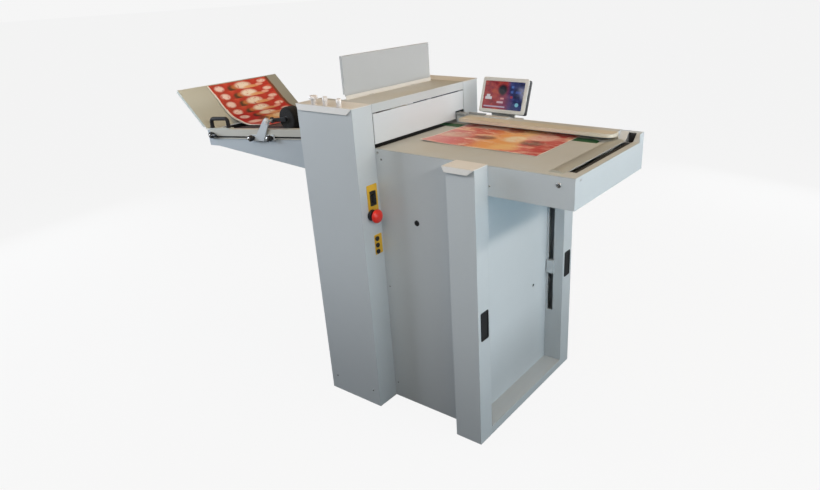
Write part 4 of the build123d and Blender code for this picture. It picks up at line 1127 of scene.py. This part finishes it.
def guard_corner():
    """Lip bent round the rounded corner at the belt guard's end."""
    fold, above_bed, steps = 0.002, 0.015, 12
    round_end = (guard_high.y - guard_low.y) / 2
    turn_x, turn_y = guard_high.x - round_end, guard_low.y + round_end

    def lip(reach):
        arc = [(turn_x + reach * math.sin(angle), turn_y - reach * math.cos(angle))
               for angle in quarter_turn(steps)]
        return arc + [(turn_x + reach, guard_high.y)]
    bm = bmesh.new()
    slab(bm, lip(round_end) + lip(round_end - fold)[::-1], (0, 0, bed_top + above_bed), RIGHTWARD, REARWARD,
         guard_high.z - fold - bed_top - above_bed)
    piece("guard_corner", bm, warm_lit_guard_paint, "machine")


def slot_liner():
    """Dark plate that closes the rear end of the roller's slot."""
    overlap, depth, thick, wall, below_top = 0.0015, 0.012, 0.0012, 0.0052, 0.0050
    roller_low, roller_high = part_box("infeed_roller")
    slot_end = skirt_high.y - wall
    bm = bmesh.new()
    soft_box(bm, (roller_low.x - overlap, slot_end - thick, bed_top - depth),
             (roller_high.x + overlap, slot_end, guard_high.z - below_top), 0.0002)
    piece("slot_liner", bm, black_rubber, "machine")


def rear_wall_strip():
    """Grey strip on the table's rear wall, left of the display's mount."""
    long, gap, rise = 0.075, 0.001, 0.0080
    mount_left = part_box("display_mount")[0].x
    bm = bmesh.new()
    soft_box(bm, (mount_left - long, skirt_high.y - 0.0070, guard_high.z),
             (mount_left - gap, skirt_high.y - 0.0005, guard_high.z + rise), 0.001, 0.001)
    piece("rear_wall_strip", bm, sensor_grey, "machine")


def lid_foot():
    """Bent strip that holds the lid's hinge to the head."""
    lid_low, lid_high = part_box("access_lid")
    face = joint_place("lid_hinge").x + 0.0050
    outline = [(0, 0.0008), (0, 0.0125), (0.0016, 0.0125), (0.0016, 0.0022), (0.0024, 0.0010),
               (0.0070, 0.0008), (0.0070, 0), (0.0010, 0)]
    bm = bmesh.new()
    slab(bm, [(head_top + rise, face + along) for along, rise in outline], (0, lid_low.y, 0), UP, RIGHTWARD,
         lid_high.y - lid_low.y)
    piece("lid_foot", bm, lid_foot_paint, "machine")


def groove_shade_strips():
    """Dark strips on the floors of the grooves in the outer faces of the delivery rails: painted shade inside
    the grooves.
    """
    rail_low, rail_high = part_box("delivery_rails")
    rail_tall, groove_depth, groove_drop = 0.036, 0.0072, 0.0262
    strip_top, strip_bottom, strip_thick, end_gap = -0.0004, -0.0064, 0.0012, 0.001
    run = (rail_high.x - rail_low.x - rail_tall * math.sin(slope)) / math.cos(slope) - 2 * end_gap
    raised = Vector((-math.sin(slope), 0, math.cos(slope)))
    near = Vector((rail_high.x, 0, rail_high.z - groove_drop / math.cos(slope)))
    corners = [near + down_slope * along + raised * above
               for along, above in ((end_gap, strip_bottom), (run, strip_bottom), (run, strip_top),
                                    (end_gap, strip_top))]
    outline = [(corner.x, corner.z) for corner in corners]
    bm = bmesh.new()
    for side in (-1, 1):
        wall = side * (rail_high.y - groove_depth)
        slab(bm, outline, (0, wall - strip_thick / 2, 0), RIGHTWARD, UP, -strip_thick)
    piece("groove_shade_strips", bm, black_rubber, "machine")


def chute_shade_plates():
    """Dark plate and shelf that close the low end of the delivery pan under the stop tray; their dark colour is
    painted shade.
    """
    wall, gap, thick, shelf_rise = 0.004, 0.0030, 0.0018, 0.012
    pan_low, pan_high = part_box("delivery_pan")
    tail_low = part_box("delivery_tail_roller")[0]
    side = pan_high.y - wall
    front = pan_low.x + gap
    bm = bmesh.new()
    soft_box(bm, (front, -side, tail_low.z), (front + thick, side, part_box("stop_tray")[0].z - 0.0003), 0.0003)
    soft_box(bm, (front + thick, -side, tail_low.z + shelf_rise),
             (tail_low.x - 0.0035, side, tail_low.z + shelf_rise + 0.0015), 0.0003)
    piece("chute_shade_plates", bm, motor_black, "machine")


def fascia_slot():
    """Small pressed oval near the front of the table's end fascia."""
    width, tall, from_front, below_top = 0.014, 0.0066, 0.033, 0.012
    oval = round_rectangle(width, tall, tall / 2, (skirt_low.y + from_front, bed_top - below_top), 6)
    bm = bmesh.new()
    slab(bm, oval, (skirt_high.x - 0.0002, 0, 0), REARWARD, UP, 0.0007, 0.0002)
    piece("fascia_slot", bm, lid_paint, "machine")


def fascia_seams():
    """Seam lines where the head's fascia strip meets the towers."""
    half = 0.0006
    head_low, head_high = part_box("head_cover")
    bm = bmesh.new()
    for y in (head_low.y, head_high.y):
        soft_box(bm, (flap_high.x - 0.0010, y - half, flap_high.z + 0.001),
                 (flap_high.x + 0.0002, y + half, head_top - 0.0005), 0.0001, 0.0001)
    piece("fascia_seams", bm, sensor_grey, "machine")


def lock_collar():
    """Ring round the front panel's lock."""
    lock = joint_place("lock_turn")
    proud = 0.0015
    bm = bmesh.new()
    dish(bm, circle(0.0098, 36), circle(0.0068, 36), (lock.x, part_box("panel_lock")[0].y + proud, lock.z),
         RIGHTWARD, UP, 0.0012, 0.0010, 0.0003)
    piece("lock_collar", bm, motor_black, "machine")


def power_inlet():
    """Mains inlet low on the rear panel: framed recess, three pins and two screws."""
    from_edge, height, frame_rise, screw_reach = 0.085, 0.110, 0.004, 0.022
    panel_low, panel_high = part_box("rear_panel")
    inlet = Vector((panel_low.x + from_edge, panel_high.y, height))
    bm = bmesh.new()
    coloured(bm, 0, dish, round_rectangle(0.058, 0.040, 0.005), round_rectangle(0.030, 0.022, 0.003), inlet,
             (-1, 0, 0), UP, frame_rise, 0.0035, 0.0008)
    pin_low, pin_high = Vector((-0.001, 0.0005, -0.0025)), Vector((0.001, 0.0038, 0.0025))
    for x, z in ((-0.007, -0.003), (0.007, -0.003), (0.0, 0.004)):
        pin = inlet + Vector((x, 0, z))
        coloured(bm, 1, soft_box, pin + pin_low, pin + pin_high, 0.0002, 0.0003)
    for x in (-screw_reach, screw_reach):
        coloured(bm, 1, turned, (inlet.x + x, inlet.y + frame_rise, inlet.z), REARWARD,
                 [(0, 0.0032), (0.0008, 0.0032), (0.0014, 0.0022)], 24)
    piece("power_inlet", bm, [black_plastic, bright_steel], "machine")


def panel_screws():
    """Screws along the rear panel's edges, and smaller ones low on the front."""
    inset, heights, front_heights = 0.014, (0.060, 0.460, 0.860), (0.060, 0.460)
    rear_head = [(0, 0.0042), (0.0010, 0.0042), (0.0022, 0.0028), (0.0022, 0.0016), (0.0010, 0.0015)]
    front_head = [(0, 0.0030), (0.0007, 0.0030), (0.0013, 0.0020)]
    panel_low, panel_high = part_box("rear_panel")
    bm = bmesh.new()
    for x in (panel_low.x + inset, panel_high.x - inset):
        for z in heights:
            turned(bm, (x, panel_high.y, z), REARWARD, rear_head, 24)
            if z in front_heights:
                turned(bm, (x, -panel_high.y, z), FORWARD, front_head, 24)
    piece("panel_screws", bm, bright_steel, "machine")


for build in (loop_handle, thumb_knobs, tray_lock, press_wheel, bracket_pin, fanned_sheets, table_sheet,
              display_frame, display_panel, tower_knobs, stop_switch, rocker, push_buttons, sockets, plates,
              grips, screws, feed_roller, throat_shade_sheet, edge_sensor, guard_corner, slot_liner, rear_wall_strip,
              lid_foot, groove_shade_strips, chute_shade_plates, fascia_slot, fascia_seams, lock_collar, power_inlet,
              panel_screws):
    build()


# ------------------------------------------------------------------ camera, light and floor
def aim_camera():
    """Wide view from the feed end and the front, a little above the table."""
    data = bpy.data.cameras.new("camera")
    camera = bpy.data.objects.new("camera", data)
    bpy.context.scene.collection.objects.link(camera)
    tilt, roll, heading = 66.1435, 2.0098, 35.4806
    camera.rotation_euler = [math.radians(angle) for angle in (tilt, roll, heading)]
    camera.location = (1.3338, -1.7614, 1.4499)
    data.sensor_width = 36.0
    data.lens = 28.526
    data.shift_x = -0.0588
    data.shift_y = 0.0212
    data.clip_end = 200.0
    bpy.context.scene.camera = camera


def panel_light(name, place, aim, size, colour, power):
    """Rectangular soft light whose long side stays level."""
    data = bpy.data.lights.new(name, "AREA")
    data.shape = "RECTANGLE"
    data.size, data.size_y = size
    data.color = colour
    data.energy = power
    lamp = bpy.data.objects.new(name, data)
    lamp.location = place
    lamp.rotation_euler = (Vector(aim) - Vector(place)).to_track_quat("-Z", "Y").to_euler()
    bpy.context.scene.collection.objects.link(lamp)


def grey(level):
    return level, level, level, 1


def studio_world():
    """Even pale backdrop for the camera; dim light, cool from below and warm from above, for the rest."""
    world = bpy.data.worlds.new("studio")
    bpy.context.scene.world = world
    world.use_nodes = True
    world_nodes, link = world.node_tree.nodes, world.node_tree.links.new
    world_nodes.clear()
    kinds = ("TexCoord", "SeparateXYZ", "MapRange", "ValToRGB", "LightPath", "Mix", "Background",
             "OutputWorld")
    coordinates, split, spread, ramp, ray, pick, glow, output = (
        world_nodes.new("ShaderNode" + kind) for kind in kinds)
    spread.inputs[1].default_value = -1.0
    low, high = ramp.color_ramp.elements
    low.position, low.color = 0.5, (0.10, 0.12, 0.17, 1)
    high.position, high.color = 0.9, (0.12, 0.11, 0.10, 1)
    pick.data_type = "RGBA"
    pick.inputs[7].default_value = grey(1.84)
    glow.inputs[1].default_value = 0.5
    link(coordinates.outputs["Generated"], split.inputs[0])
    link(split.outputs[2], spread.inputs[0])
    link(spread.outputs[0], ramp.inputs[0])
    link(ray.outputs["Is Camera Ray"], pick.inputs[0])
    link(ramp.outputs[0], pick.inputs[6])
    link(pick.outputs[2], glow.inputs[0])
    link(glow.outputs[0], output.inputs[0])


def studio_lights():
    """Warm key from the right, and softer fills round the machine."""
    panel_light("key", (2.4, -0.3, 1.94), (0.1, -0.05, 0.65), (4.5, 0.18), (1.0, 0.91, 0.83), 50)
    panel_light("front_fill", (0.2, -2.3, 2.6), (0.1, -0.25, 0.75), (2.6, 1.0), (1.0, 0.97, 0.91), 25)
    panel_light("top_fill", (-0.3, 0.6, 3.0), (-0.1, 0.0, 1.0), (2.4, 2.0), (1.0, 0.66, 0.28), 20)
    panel_light("low_fill", (3.2, -0.4, 0.9), (0.3, 0.0, 0.5), (3.0, 0.9), (0.62, 0.86, 1.0), 40)
    panel_light("left_fill", (-2.6, -1.6, 1.7), (-0.3, 0.0, 0.9), (1.6, 1.2), (0.79, 0.88, 1.0), 43)
    panel_light("rear_fill", (0.7, 3.2, 0.9), (0.0, 0.0, 0.6), (1.8, 1.2), (0.92, 0.96, 1.0), 30)
    panel_light("end_fill", (-3.3, -0.3, 0.9), (-0.3, 0.0, 0.6), (1.6, 1.2), (0.92, 0.96, 1.0), 22)


def floor_material():
    """Pale floor for the camera that passes little light on to the machine."""
    shader = Shader("studio_floor")
    cloud = shader.noise(shader.place(), 0.8, 3.0)
    near_white = shader.mix(cloud, grey(0.040), grey(0.045))
    diffuse = shader.add("BsdfDiffuse", {0: near_white}).outputs[0]
    lift = shader.add("Emission", {0: grey(0.895), 1: 1.0}).outputs[0]
    seen = shader.add("AddShader", {0: diffuse, 1: lift}).outputs[0]
    bounce = shader.add("BsdfDiffuse", {0: grey(0.12)}).outputs[0]
    camera_ray = shader.add("LightPath").outputs["Is Camera Ray"]
    either = shader.add("MixShader", {0: camera_ray, 1: bounce, 2: seen}).outputs[0]
    shader.tree.links.new(either, shader.add("OutputMaterial").inputs[0])
    return shader.material


def studio_floor():
    reach, count, below = 40.0, 8, 0.0005
    bm = bmesh.new()
    marks = [-reach + 2 * reach * step / count for step in range(count + 1)]
    grid = [[bm.verts.new((x, y, -below)) for y in marks] for x in marks]
    for i in range(count):
        for j in range(count):
            bm.faces.new((grid[i][j], grid[i + 1][j], grid[i + 1][j + 1], grid[i][j + 1]))
    mesh = bpy.data.meshes.new("floor")
    bm.to_mesh(mesh)
    bm.free()
    mesh.materials.append(floor_material())
    floor = bpy.data.objects.new("floor", mesh)
    bpy.context.scene.collection.objects.link(floor)


aim_camera()
studio_world()
studio_lights()
studio_floor()
bpy.context.scene.view_settings.view_transform = "Standard"
